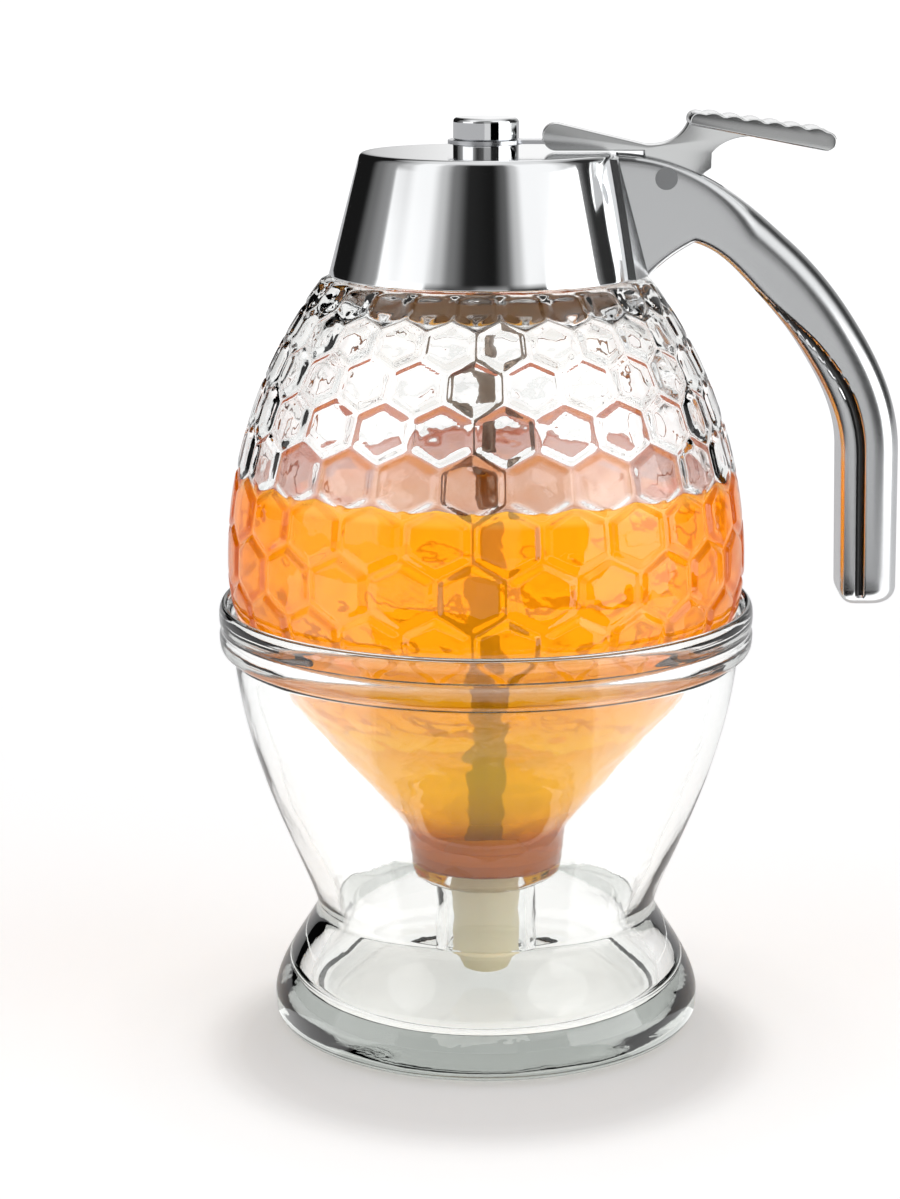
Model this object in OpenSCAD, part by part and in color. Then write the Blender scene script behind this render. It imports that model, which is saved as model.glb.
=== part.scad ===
// Honey dispenser: a glass jar with a honeycomb relief and a plunger valve, a screwed metal lid with
// a cast handle and a thumb lever, and a glass stand that the jar sits in. Millimetres, +Z up.
// The origin is the centre of the stand's foot on the table; the handle points along +X.

/* [Jar] */
// Diameter of the jar's glass at its widest, under the relief
jar_d = 82; // [78:0.5:86]
// Height of the widest point above the stand's rim
belly_rise = 5.7; // [5:0.1:6.5]
// Radius of the arc from the widest point up to the shoulder
upper_arc_r = 74.1; // [70:0.5:80]
// Radius of the arc from the widest point down to the funnel
lower_arc_r = 25.4; // [23.5:0.2:26]
// Slope of the funnel, from the horizontal
funnel_angle = 50.7; // [48:0.5:53]
// Height of the flat shoulder above the widest point
shoulder_rise = 45.8; // [44.5:0.1:47]
// Wall of the jar
jar_wall = 2.2; // [1.8:0.1:2.5]
// Outside diameter of the threaded neck
neck_d = 34.8; // [33.5:0.1:35.5]
// Height of the threaded neck
neck_h = 11.6; // [11.2:0.1:12.5]
// Wall of the threaded neck
neck_wall = 2.4; // [2:0.1:2.8]

/* [Outlet] */
// Outside diameter of the well at the foot of the funnel
well_d = 26; // [25:0.5:28]
// Height of the underside of the well above the table
well_z = 24.8; // [24:0.2:26]
// Outside diameter of the outlet tube
outlet_d = 16.4; // [15.6:0.2:17.4]
// Bore of the outlet tube
outlet_bore = 13.2; // [12.8:0.2:13.6]
// Length of the outlet tube below the well
outlet_l = 12.2; // [11:0.2:13]

/* [Relief] */
// Hexagons round the jar
hex_count = 24; // [20:1:28]
// Rows of hexagons above the widest point
hex_rows = 7; // [5:1:7]
// How far a hexagon stands out of the glass
relief = 0.5; // [0.3:0.05:0.7]
// Width of the groove between hexagons
hex_groove = 1.0; // [0.7:0.1:1.5]
// Height of a hexagon against that of a regular one
hex_squash = 0.89; // [0.8:0.01:0.95]
// Turn of the whole relief about the jar's axis, in degrees
hex_turn = -3; // [-7:0.5:7]

/* [Honey] */
// Level of the honey above the table
honey_z = 91; // [80:1:95]

/* [Stand] */
// Height of the stand's rim above the table
stand_h = 71; // [70:0.5:73]
// Depth from the rim down to the ledge that carries the jar
ledge_drop = 9; // [8:0.2:9.4]
// Thickness of the rim's lip
lip_t = 1.4; // [1.2:0.1:2]
// How far the rim bead stands out of the bowl
bead_proud = 2.3; // [1.5:0.1:2.8]
// Diameter of the waist
waist_d = 55.2; // [52:0.2:58]
// Height of the waist
waist_z = 19.8; // [18:0.2:21]
// Diameter of the foot
foot_d = 69.6; // [66:0.2:74]
// Height of the foot's upright edge
foot_edge = 5.3; // [4:0.1:6]
// Thickness of the stand's glass floor
floor_t = 5.2; // [4.5:0.1:5.4]
// Wall of the stand
stand_wall = 3.3; // [2.6:0.1:3.6]
// Width of the flat ring on which the jar rests
seat_w = 1.7; // [1.4:0.1:2]

/* [Lid] */
// Height of the lid
lid_h = 19.1; // [18.6:0.1:20]
// Diameter of the lid at its lower edge
lid_low_d = 49.6; // [49:0.2:50.4]
// Diameter of the lid at its top
lid_top_d = 39.5; // [38.5:0.1:41]
// Thickness of the lid's metal
lid_t = 0.9; // [0.7:0.05:1.1]
// Gap between the jar's shoulder and the lid's lower edge
lid_gap = 0.4; // [0.3:0.1:0.8]
// Thickness of the gasket
gasket_t = 1.6; // [1.2:0.1:1.8]
// Thickness of the liner above the gasket
liner_t = 1.5; // [1.2:0.1:1.8]
// Pitch of the lid's screw thread
thread_pitch = 3.2; // [3:0.1:3.6]
// Height of the thread's ridge
thread_h = 1.0; // [0.8:0.05:1.1]
// Turns of each thread
thread_turns = 1.25; // [1:0.05:1.4]

/* [Plunger] */
// Diameter of the plunger rod
rod_d = 4; // [3.6:0.1:4.4]
// Diameter of the knob
knob_d = 10.3; // [9.6:0.1:11]
// Height of the knob
knob_h = 3.4; // [3.1:0.1:4]
// Height of the bush's collar on the lid
collar_h = 1.3; // [1:0.1:1.6]
// Diameter of the bush's threaded stem
stem_d = 6; // [5.6:0.1:6.4]
// Thickness of the nut under the liner
nut_t = 1.8; // [1.5:0.1:2.2]
// Width of the nut across its flats
nut_af = 9; // [8.5:0.1:10]
// Diameter of the spring, across its outside
spring_d = 9; // [8.5:0.1:9.6]
// Diameter of the spring's wire
wire_d = 0.7; // [0.6:0.05:0.8]
// Turns of the spring
spring_turns = 6; // [5:1:7]
// Length of the spring at rest
spring_l = 12.4; // [12:0.1:13]
// Diameter of the stopper inside the outlet
stopper_d = 10.8; // [10.2:0.1:11]
// Diameter of the stopper's sealing flange
flange_d = 16; // [15.4:0.1:16.4]
// Thickness of the sealing flange
flange_t = 2.5; // [2:0.1:3]
// Widest diameter of the drip tip
tip_d = 11.6; // [11:0.1:12]
// Length of the drip tip below the outlet
tip_l = 6.4; // [5.8:0.1:6.6]
// Lift of the plunger for each radian of the lever, in millimetres
lift_per_rad = 34; // [34:0.5:36]

/* [Lever and handle] */
// Distance from the lid's axis to the lever's pin
pin_x = 28; // [27.5:0.1:28.6]
// Height of the pin below the lid's top face
pin_drop = 3.8; // [3.6:0.1:4]
// Diameter of the lever's pin
pin_d = 3.5; // [3.2:0.1:3.6]
// Travel of the lever, in degrees
lever_travel = 11; // [9:1:12]
// Thickness of the lever's web and nose
web_t = 5; // [4.5:0.1:5.2]
// Distance from the pin to the top of the hook, along the lever
hook_x = 4.6; // [4:0.1:5]
// Height of the hook above the lid
hook_h = 6.3; // [5.6:0.1:6.6]
// Distance from the pin to the end of the thumb pad
pad_x = 24.8; // [22:0.2:26]
// Height of the end of the thumb pad above the lid
pad_end_h = 1.9; // [1.6:0.1:2.4]
// Width of the thumb pad
pad_w = 11; // [10:0.5:13]
// Bumps along the thumb pad
pad_bumps = 6; // [5:1:6]
// Thickness of the lift ring's plate
ring_t = 0.6; // [0.5:0.05:0.7]
// Outside diameter of the lift ring
ring_d = 12; // [11.6:0.1:12.4]
// Width of the handle across its cheeks
cheek_w = 10; // [9.4:0.2:10.6]
// Thickness of the grip in the lever's plane
grip_t = 9.6; // [8.8:0.2:10.4]
// Distance from the lid's axis to the middle of the grip
grip_x = 60.9; // [60:0.2:62]
// Height of the grip's lower end
grip_low_z = 70.3; // [66:0.5:73]
// Thickness of the saddle flange on the lid
saddle_t = 1.1; // [0.9:0.1:1.4]
// Diameter of the handle's screws
screw_d = 2.5; // [2.2:0.1:2.6]

/* [Fits] */
// Clearance round a thing that turns or slides in its hole, on the radius
run_fit = 0.06; // [0.03:0.01:0.08]
// Clearance round a thing that is fixed in its hole, on the radius
fixed_fit = 0.02; // [0.01:0.01:0.04]
// Clearance between glass parts, and between the lid and its liner
loose_fit = 0.3; // [0.2:0.05:0.35]

/* [Hidden] */

glass = [0.80, 0.90, 0.88, 0.45];
amber = [0.95, 0.55, 0.08];
chrome = [0.72, 0.74, 0.77];
steel = [0.60, 0.62, 0.65];
silicone = [0.93, 0.90, 0.80];
round_fn = 96;
small_fn = 48;

// Jar
belly_r = jar_d / 2;
belly_z = stand_h + belly_rise;
shoulder_z = belly_z + shoulder_rise;
neck_top_z = shoulder_z + neck_h;
neck_r = neck_d / 2;
mouth_r = neck_r - neck_wall;
well_r = well_d / 2;
well_taper = 1;
well_round = 1.2;
bore_r = outlet_bore / 2;
valve_seat_z = well_z + jar_wall;
outlet_z = well_z - outlet_l;
upper_cx = belly_r - upper_arc_r;
lower_cx = belly_r - lower_arc_r;
funnel_end = funnel_angle - 90;

// Stand
ledge_z = stand_h - ledge_drop;
seat_inner_r = lower_cx + sqrt(pow(lower_arc_r, 2) - pow(belly_z - ledge_z, 2));
seat_outer_r = seat_inner_r + seat_w;
seat_step_z = belly_z - sqrt(pow(lower_arc_r, 2) - pow(seat_outer_r - lower_cx, 2));
ledge_inner_r = seat_inner_r + 0.4 * seat_w;
rim_inner_r = belly_r + relief + 0.1;
rim_r = rim_inner_r + lip_t;
bowl_r = rim_r - bead_proud;
waist_r = waist_d / 2;
foot_r = foot_d / 2;

// Lid
lid_low_z = shoulder_z + lid_gap;
lid_top_z = lid_low_z + lid_h;
lid_plate_t = lid_t * 1.3;
lid_under_z = lid_top_z - lid_plate_t;
lid_slope = (lid_low_d - lid_top_d) / 2 / lid_h;
thread_play = 0.4;
thread_r = neck_r + thread_h;
liner_bore_r = thread_r + thread_play;
gasket_z = neck_top_z;
liner_web_z = gasket_z + gasket_t;
thread_low_z = shoulder_z + 3.4;

// Plunger
rod_r = rod_d / 2;
rod_hole_r = rod_r + run_fit;
collar_z = lid_top_z + collar_h;
nut_low_z = liner_web_z - nut_t;
spring_low_z = nut_low_z - spring_l;
washer_t = 0.8;
washer_z = spring_low_z - washer_t;
clip_z = washer_z - washer_t;
clip_groove = 0.4;
ring_z = collar_z;
knob_z = ring_z + ring_t + 0.05;
rod_top_z = knob_z + 0.68 * knob_h;
rod_low_z = outlet_z - 0.6;
tip_z = outlet_z - tip_l;
sleeve_h = 5.5;
lever_lift = lift_per_rad * lever_travel * PI / 180;
lid_rise = thread_pitch * thread_turns;
stopper_room = lever_lift + lid_rise + 0.6;

// Lever and handle
pin_z = lid_top_z - pin_drop;
nose_z = lid_top_z + loose_fit;
nose_r = 2.1;
nose_x = ring_d / 2 + 2.8 + nose_r;
slot_w = web_t + 2 * loose_fit;
ring_hole_r = rod_r + 2.2;
screw_zs = [pin_z - 9.4, pin_z - 5.6];
screw_head_r = screw_d / 2 + 0.55;
screw_head_t = 1;
screw_head_gap = 0.6;
screw_l = 5;

// Points on an arc about (cx, cz), from angle a0 to angle a1
function arc(cx, cz, r, a0, a1, n) =
  [for (i = [0:n]) let (a = a0 + (a1 - a0) * i / n) [cx + r * cos(a), cz + r * sin(a)]];

// Points on a cubic curve with end points p and s and handles q and t
function curve(p, q, t, s, n) =
  [for (i = [0:n]) let (u = i / n, v = 1 - u)
    v * v * v * p + 3 * v * v * u * q + 3 * v * u * u * t + u * u * u * s];

// Radius of the lid's outer cone at a height
function lid_r(z) = lid_low_d / 2 - (z - lid_low_z) * lid_slope;

// Outside of the jar from the well's underside up to the flat shoulder
jar_outer = concat(
  arc(well_r - well_taper - well_round, well_z + well_round, well_round, -90, 0, 4),
  [[well_r, funnel_z(0, well_r)]],
  arc(lower_cx, belly_z, lower_arc_r, funnel_end, 0, 6),
  arc(upper_cx, belly_z, upper_arc_r, 2, asin(shoulder_rise / upper_arc_r), 14));

// Height at which the funnel's face, moved inwards by `inset`, has the radius r
function funnel_z(inset, r) =
  belly_z + (lower_arc_r - inset) * sin(funnel_end)
  - (lower_cx + (lower_arc_r - inset) * cos(funnel_end) - r) * tan(funnel_angle);

// Inside of the jar, moved inwards by `play`, from height `top_z` down to the valve seat
function jar_inner(play, top_z) = let (
    inset = jar_wall + play,
    low_r = lower_arc_r - inset,
    high_r = upper_arc_r - inset,
    top_a = asin((top_z - belly_z) / high_r),
    end_r = well_r - inset)
  concat(
    arc(upper_cx, belly_z, high_r, top_a, 2, max(2, round(top_a / 3))),
    arc(lower_cx, belly_z, low_r, 0, funnel_end, 6),
    [[end_r, funnel_z(inset, end_r)],
     [end_r - well_taper, valve_seat_z + play]]);

// Angle of a row of hexagons above the widest point, stepped by the height of the row below
function row_angle(i) = i == 0 ? 2.1 :
  let (a = row_angle(i - 1))
  a + hex_squash * sqrt(3) / 2 * 360 / hex_count * (upper_cx + upper_arc_r * cos(a)) / upper_arc_r;

// One hexagon of the relief, set square to the glass at the angle a of an arc
module hexagon(cx, arc_r, a, turn) {
  r = cx + arc_r * cos(a);
  root = jar_wall / 2;
  corner = (2 * PI * r / hex_count - hex_groove) / sqrt(3);
  rotate([0, 0, turn])
    translate([r, 0, belly_z + arc_r * sin(a)])
      rotate([0, 90 - a, 0])
        translate([0, 0, -root])
          linear_extrude(root + relief)
            polygon([for (k = [0:5]) [-hex_squash * corner * cos(60 * k), corner * sin(60 * k)]]);
}

// A helical ridge: root radius, signed height, lowest point, width at its root
module ridge(root_r, height, low_z, root_w) {
  steps = round(36 * thread_turns);
  sunk = -sign(height) * 0.5;
  points = [for (i = [0:steps]) let (
      a = 360 * thread_turns * i / steps,
      z = low_z + thread_pitch * thread_turns * i / steps,
      h = height * min(1, i / 3 + 0.3, (steps - i) / 3 + 0.3))
    each [for (p = [[sunk, -root_w / 2], [sunk, root_w / 2], [h, root_w / 4], [h, -root_w / 4]])
      [(root_r + p[0]) * cos(a), (root_r + p[0]) * sin(a), z + p[1]]]];
  flip = sign(height) > 0;
  sides = [for (i = [0:steps - 1], k = [0:3]) let (
      a = 4 * i + k,
      b = 4 * i + (k + 1) % 4,
      c = b + 4,
      d = a + 4)
    each (flip ? [[a, d, c], [a, c, b]] : [[c, d, a], [b, c, a]])];
  last = 4 * steps;
  caps = flip ? [[0, 1, 2, 3], [last + 3, last + 2, last + 1, last]]
              : [[3, 2, 1, 0], [last, last + 1, last + 2, last + 3]];
  polyhedron(points, concat(sides, caps), convexity = 6);
}

module glass_stand() {
  bowl_h = ledge_z - waist_z;
  outside = concat(
    arc(foot_r - 1.5, 1.5, 1.5, -90, 0, 4),
    curve([foot_r, foot_edge], [foot_r - 0.6, foot_edge + 5], [waist_r + 0.3, waist_z - 2.4],
          [waist_r, waist_z], 8),
    curve([waist_r, waist_z], [waist_r + 1, waist_z + 0.15 * bowl_h],
          [bowl_r - 1.8, waist_z + 0.53 * bowl_h], [bowl_r, ledge_z], 12),
    curve([bowl_r + 0.2, ledge_z + 0.3], [rim_r - 0.2, ledge_z + 0.4], [rim_r, ledge_z + 1.6],
          [rim_r, ledge_z + 3.2], 5),
    curve([rim_r, stand_h - 3], [rim_r, stand_h - 1], [rim_r - 0.3 * lip_t, stand_h],
          [rim_r - 0.5 * lip_t, stand_h], 4));
  inside = concat(
    [[rim_inner_r, stand_h - 0.5 * lip_t],
     [rim_inner_r - 1.2, seat_step_z + 1.2],
     [seat_outer_r + loose_fit, seat_step_z - 1],
     [seat_outer_r + loose_fit, ledge_z],
     [ledge_inner_r, ledge_z]],
    curve([ledge_inner_r, ledge_z - 2], [bowl_r - 1.8 - stand_wall, waist_z + 0.53 * bowl_h],
          [waist_r - stand_wall + 1, waist_z + 0.15 * bowl_h], [waist_r - stand_wall, waist_z], 10),
    curve([waist_r - stand_wall, waist_z - 1], [waist_r - stand_wall, waist_z - 4],
          [foot_r - 7, floor_t + 6], [foot_r - 6, floor_t + 2.5], 6),
    [[foot_r - 7, floor_t + 0.6],
     [foot_r - 9, floor_t],
     [0, floor_t],
     [0, 0]]);
  color(glass)
    rotate_extrude($fn = round_fn)
      polygon(concat(outside, inside));
}

module glass_jar() {
  low_row = -13;
  lid_room = lid_low_d / 2 + 2;
  color(glass) {
    difference() {
      union() {
        rotate_extrude($fn = round_fn)
          polygon(concat(
            [[bore_r, outlet_z],
             [outlet_d / 2 - 0.4, outlet_z],
             [outlet_d / 2, outlet_z + 0.4],
             [outlet_d / 2, well_z]],
            jar_outer,
            [[neck_r, shoulder_z],
             [neck_r, neck_top_z],
             [mouth_r, neck_top_z],
             [mouth_r, shoulder_z - jar_wall]],
            jar_inner(0, shoulder_z - jar_wall),
            [[bore_r, valve_seat_z]]));
        rotate_extrude($fn = round_fn)
          polygon([[seat_inner_r - 1, ledge_z + 0.6],
                   [seat_inner_r, ledge_z],
                   [seat_outer_r, ledge_z],
                   [seat_outer_r, seat_step_z],
                   [seat_inner_r - 1, seat_step_z]]);
        for (i = [0:hex_rows - 1], k = [0:hex_count - 1])
          hexagon(upper_cx, upper_arc_r, row_angle(i),
                  hex_turn + (k + (i % 2) / 2) * 360 / hex_count);
        for (k = [0:hex_count - 1])
          hexagon(lower_cx, lower_arc_r, low_row, hex_turn + (k + 0.5) * 360 / hex_count);
      }
      translate([0, 0, shoulder_z])
        difference() {
          cylinder(h = 3, r = lid_room, $fn = round_fn);
          translate([0, 0, -1])
            cylinder(h = 5, r = neck_r, $fn = round_fn);
        }
    }
    ridge(neck_r, thread_h, thread_low_z, 1.7);
  }
}

// Contents of the jar, with a channel round the rod and the stopper's travel
module honey() {
  play = 0.15;
  room_r = flange_d / 2 + 0.5;
  room_z = valve_seat_z + flange_t + sleeve_h + stopper_room;
  color(amber)
    difference() {
      rotate_extrude($fn = round_fn)
        polygon(concat(
          [[0, honey_z]],
          jar_inner(play, honey_z),
          [[0, valve_seat_z + play]]));
      translate([0, 0, valve_seat_z - 1])
        cylinder(h = room_z - valve_seat_z + 1, r = room_r, $fn = small_fn);
      translate([0, 0, valve_seat_z])
        cylinder(h = honey_z, r = rod_r + 0.4, $fn = small_fn);
    }
}

module lid_shell() {
  edge = 0.8;
  color(chrome)
    difference() {
      rotate_extrude($fn = round_fn)
        polygon(concat(
          [[lid_low_d / 2 - lid_t, lid_low_z],
           [lid_low_d / 2, lid_low_z]],
          arc(lid_r(lid_top_z) - edge, lid_top_z - edge, edge, 10, 90, 5),
          [[0, lid_top_z],
           [0, lid_under_z],
           [lid_r(lid_under_z) - lid_t, lid_under_z]]));
      translate([0, 0, lid_under_z - 1])
        cylinder(h = lid_plate_t + 2, d = stem_d + 2 * fixed_fit, $fn = small_fn);
      screw_bores(screw_l);
    }
}

module lid_liner() {
  boss_r = 7;
  play = lid_t + 0.1;
  low_z = lid_low_z + 0.5;
  web_top_z = liner_web_z + liner_t;
  rim_r = lid_r(lid_under_z) - play;
  color("ivory") {
    difference() {
      rotate_extrude($fn = round_fn)
        polygon([[liner_bore_r, low_z],
                 [lid_r(low_z) - play, low_z],
                 [rim_r, lid_under_z],
                 [rim_r - 1.2, lid_under_z],
                 [rim_r - 1.2, web_top_z],
                 [boss_r, web_top_z],
                 [boss_r, lid_under_z],
                 [stem_d / 2 + fixed_fit, lid_under_z],
                 [stem_d / 2 + fixed_fit, liner_web_z],
                 [liner_bore_r, liner_web_z]]);
      hull()
        for (z = screw_zs)
          translate([lid_r(max(screw_zs)) - lid_t - screw_head_t - screw_head_gap - loose_fit, 0, z])
            rotate([0, 90, 0])
              cylinder(h = screw_l, r = screw_head_r + loose_fit, $fn = small_fn);
    }
    ridge(liner_bore_r, -thread_h, thread_low_z - thread_pitch / 2, 1.7);
  }
}

module lid_gasket() {
  color("whitesmoke")
    translate([0, 0, gasket_z])
      difference() {
        cylinder(h = gasket_t, r = liner_bore_r - loose_fit, $fn = round_fn);
        translate([0, 0, -1])
          cylinder(h = gasket_t + 2, r = mouth_r - 1.5, $fn = round_fn);
      }
}

module guide_bush() {
  color(chrome)
    rotate_extrude($fn = small_fn)
      polygon([[rod_hole_r, nut_low_z],
               [stem_d / 2, nut_low_z],
               [stem_d / 2, lid_top_z],
               [knob_d / 2, lid_top_z],
               [knob_d / 2, collar_z - 0.2],
               [knob_d / 2 - 0.2, collar_z],
               [rod_hole_r, collar_z]]);
}

module bush_nut() {
  color(steel)
    translate([0, 0, nut_low_z])
      difference() {
        cylinder(h = nut_t, d = nut_af / cos(30), $fn = 6);
        translate([0, 0, -1])
          cylinder(h = nut_t + 2, d = stem_d + 2 * fixed_fit, $fn = small_fn);
      }
}

// Middle line of the handle in the XZ plane: position, half thickness, half width, squareness
function handle_line(s) = let (
    top = [lid_r(lid_top_z - 9.5) - 1, lid_top_z - 9.8],
    bend = [grip_x - 7.4, top[1] - 18],
    grip = [grip_x, grip_low_z + 24],
    end = [grip_x + 0.3, grip_low_z])
  s < 0.6
    ? bezier_at(top, [top[0] + 15, top[1] + 3], [bend[0] - 5.5, bend[1] + 8.3], bend, s / 0.6)
    : bezier_at(bend, [bend[0] + 5.5, bend[1] - 8.3], [grip[0], grip[1] + 6], grip, (s - 0.6) / 0.4);

function bezier_at(p, q, t, s, u) = let (v = 1 - u)
  v * v * v * p + 3 * v * v * u * q + 3 * v * u * u * t + u * u * u * s;

// Rings of the handle's sweep: centre, direction of the thickness, thickness above and below the
// centre, half width, power
handle_rings = let (
    bend_steps = 22,
    root_lean = 0.81 * atan(lid_slope),
    root_flare = 5.4,
    straight_steps = 4,
    grip_top_z = grip_low_z + 24,
    end_round = 2.6)
  concat(
    [for (i = [0:bend_steps]) let (
        s = i / bend_steps,
        p = handle_line(s),
        ahead = handle_line(min(1, s + 0.01)) - handle_line(max(0, s - 0.01)),
        turn = max(0, 1 - s / 0.36),
        normal = atan2(ahead[0], -ahead[1]) + root_lean * turn,
        high_t = grip_t / 2 + root_flare * pow(turn, 1.6),
        slim_t = grip_t / 2 - 1.5 * exp(-pow((s - 0.2) / 0.14, 2)),
        low_t = slim_t + (grip_t / 2 + root_flare - slim_t) * pow(max(0, 1 - s / 0.17), 0.9),
        half_w = cheek_w / 2 + 0.6 * min(1, s / 0.6))
      [p, normal, high_t, low_t, half_w, 2.6 + 5 * turn]],
    [for (i = [1:straight_steps]) let (
        z = grip_top_z - (24 - end_round) * i / straight_steps,
        half_t = grip_t / 2 - 0.1 * i / straight_steps)
      [[grip_x + 0.3 * i / straight_steps, z], 0, half_t, half_t, cheek_w / 2 + 0.6, 2.6]],
    [for (a = [30, 60, 90]) let (
        shrink = end_round * (1 - cos(a)),
        half_t = grip_t / 2 - 0.1 - shrink)
      [[grip_x + 0.3, grip_low_z + end_round * (1 - sin(a))], 0, half_t, half_t,
       cheek_w / 2 + 0.6 - shrink, 2.6]]);

// Solid swept through rings of rounded sections
module sweep(rings, sides) {
  count = len(rings);
  points = [for (ring = rings) let (
      across = [cos(ring[1]), sin(ring[1])])
    each [for (k = [0:sides - 1]) let (
        a = 360 * (k + 0.5) / sides,
        bulge = pow(pow(abs(cos(a)), ring[5]) + pow(abs(sin(a)), ring[5]), -1 / ring[5]),
        u = (cos(a) > 0 ? ring[2] : ring[3]) * bulge * cos(a))
      [ring[0][0] + across[0] * u, ring[4] * bulge * sin(a), ring[0][1] + across[1] * u]]];
  faces = concat(
    [[for (k = [0:sides - 1]) k]],
    [for (i = [0:count - 2], k = [0:sides - 1]) let (
        a = i * sides + k,
        b = i * sides + (k + 1) % sides)
      each [[b, a, a + sides], [b, a + sides, b + sides]]],
    [[for (k = [0:sides - 1]) count * sides - 1 - k]]);
  polyhedron(points, faces, convexity = 8);
}

// Bores for the handle's screws, along X through whatever they fix
module screw_bores(depth) {
  for (z = screw_zs)
    translate([0, 0, z])
      rotate([0, 90, 0])
        cylinder(h = lid_r(z) + depth, d = screw_d + 2 * fixed_fit, $fn = small_fn);
}

// Solid cone as wide as the lid's outside and `grow` more on the radius
module lid_cone(low_z, top_z, grow) {
  translate([0, 0, low_z])
    cylinder(h = top_z - low_z, r1 = lid_r(low_z) + grow, r2 = lid_r(top_z) + grow, $fn = round_fn);
}

module handle_saddle() {
  low_w = 11.5;
  top_w = cheek_w / 2 + 0.6;
  color(chrome)
    difference() {
      intersection() {
        lid_cone(lid_low_z + 0.3, lid_top_z - 0.8, saddle_t);
        rotate([90, 0, 90])
          linear_extrude(lid_low_d)
            polygon([[-low_w, lid_low_z],
                     [low_w, lid_low_z],
                     [top_w, lid_top_z],
                     [-top_w, lid_top_z]]);
      }
      lid_cone(lid_low_z - 2, lid_top_z + 2, fixed_fit);
      screw_bores(screw_l);
    }
}

module handle() {
  slot_low_z = pin_z - pin_d / 2 - 1.9;
  color(chrome)
    difference() {
      sweep(handle_rings, 24);
      lid_cone(lid_low_z - 2, lid_top_z + 2, saddle_t + fixed_fit);
      translate([lid_r(lid_top_z), -slot_w / 2, slot_low_z])
        cube([pin_x + 9.2 - lid_r(lid_top_z), slot_w, lid_h]);
      translate([pin_x, cheek_w, pin_z])
        rotate([90, 0, 0])
          cylinder(h = 2 * cheek_w, d = pin_d + 2 * fixed_fit, $fn = small_fn);
      screw_bores(screw_l);
    }
}

module handle_screws() {
  color(steel)
    for (z = screw_zs)
      translate([lid_r(z) - lid_t - screw_head_t - screw_head_gap, 0, z])
        rotate([0, 90, 0]) {
          cylinder(h = screw_head_t, r = screw_head_r, $fn = small_fn);
          cylinder(h = screw_head_t + screw_head_gap + lid_t + screw_l - 0.5, d = screw_d,
                   $fn = small_fn);
        }
}

module lever_pin() {
  color(steel)
    translate([pin_x, cheek_w / 2, pin_z])
      rotate([90, 0, 0])
        cylinder(h = cheek_w, d = pin_d, $fn = small_fn);
}

module lever() {
  hook = [pin_x + hook_x, lid_top_z + hook_h];
  pad_end = [pin_x + pad_x, lid_top_z + pad_end_h];
  pad_r = 1.5;
  pad_top = hook + [1.2, -0.3];
  bump_step = (pad_end + [0.1, pad_r - 0.1] - pad_top) / pad_bumps;
  bump_h = 0.5;
  heel_x = pin_x + 7.2;
  nose_top = nose_z + 2 * nose_r;
  color(chrome)
    difference() {
      union() {
        translate([0, web_t / 2, 0])
          rotate([90, 0, 0])
            linear_extrude(web_t) {
              translate([nose_x, nose_z + nose_r])
                circle(r = nose_r, $fn = small_fn);
              translate([pin_x, pin_z])
                circle(r = pin_d / 2 + 1.6, $fn = small_fn);
              polygon(concat(
                [[nose_x, nose_z],
                 [pin_x - 2.8, nose_z],
                 [pin_x - 2.8, pin_z - 1]],
                [[pin_x + 2.4, pin_z - 2.2],
                 [heel_x, pin_z + 1.4]],
                curve([heel_x, nose_z - 0.4], [heel_x + 1.6, nose_z + 1.6],
                      [heel_x + 4, nose_z + 2.2], [heel_x + 6.4, nose_z + 2.2], 5),
                [[hook[0] + 8, hook[1] - 2.2],
                 [hook[0], hook[1]]],
                curve([hook[0] - 0.6, hook[1]], [hook[0] - 1.4, hook[1] - 4.6],
                      [pin_x - 0.4, nose_z + 1], [pin_x - 3, nose_z + 1.1], 6),
                [[nose_x, nose_top]]));
            }
        translate([0, pad_w / 2, 0])
          rotate([90, 0, 0])
            linear_extrude(pad_w)
              polygon(concat(
                arc(hook[0] + 0.3, hook[1] - 1.4, 1.4, 200, 75, 5),
                [for (i = [0:pad_bumps - 1], u = [0.1:0.2:0.9])
                  pad_top + (i + u) * bump_step + 4 * bump_h * u * (1 - u) * [0.25, 0.97]],
                arc(pad_end[0], pad_end[1], pad_r, 70, -105, 8)));
      }
      translate([pin_x, web_t, pin_z])
        rotate([90, 0, 0])
          cylinder(h = 2 * web_t, d = pin_d + 2 * run_fit, $fn = small_fn);
      translate([0, -2 - fixed_fit, ring_z - fixed_fit])
        cube([nose_x + 1.2, 4 + 2 * fixed_fit, ring_t + 2 * fixed_fit]);
    }
}

module lift_ring() {
  color(steel)
    translate([0, 0, ring_z])
      difference() {
        union() {
          cylinder(h = ring_t, d = ring_d, $fn = small_fn);
          translate([0, -2, 0])
            cube([nose_x + 1, 4, ring_t]);
        }
        translate([0, 0, -1])
          cylinder(h = ring_t + 2, r = ring_hole_r, $fn = small_fn);
      }
}

module knob() {
  edge = 0.7;
  color(chrome)
    rotate_extrude($fn = small_fn)
      polygon(concat(
        [[rod_r + fixed_fit, knob_z],
         [knob_d / 2 - 0.2, knob_z],
         [knob_d / 2, knob_z + 0.2]],
        arc(knob_d / 2 - edge, knob_z + knob_h - edge, edge, 0, 90, 5),
        [[0, knob_z + knob_h],
         [0, rod_top_z],
         [rod_r + fixed_fit, rod_top_z]]));
}

module plunger_rod() {
  color(steel)
    difference() {
      translate([0, 0, rod_low_z])
        cylinder(h = rod_top_z - rod_low_z, r = rod_r, $fn = small_fn);
      translate([0, 0, clip_z])
        difference() {
          cylinder(h = washer_t, r = rod_d, $fn = small_fn);
          translate([0, 0, -1])
            cylinder(h = washer_t + 2, r = rod_r - clip_groove, $fn = small_fn);
        }
    }
}

spring_mid_r = (spring_d - wire_d) / 2;
spring_rings = spring_turns * 8;
wire_r = wire_d / 2 / cos(30);

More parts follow.
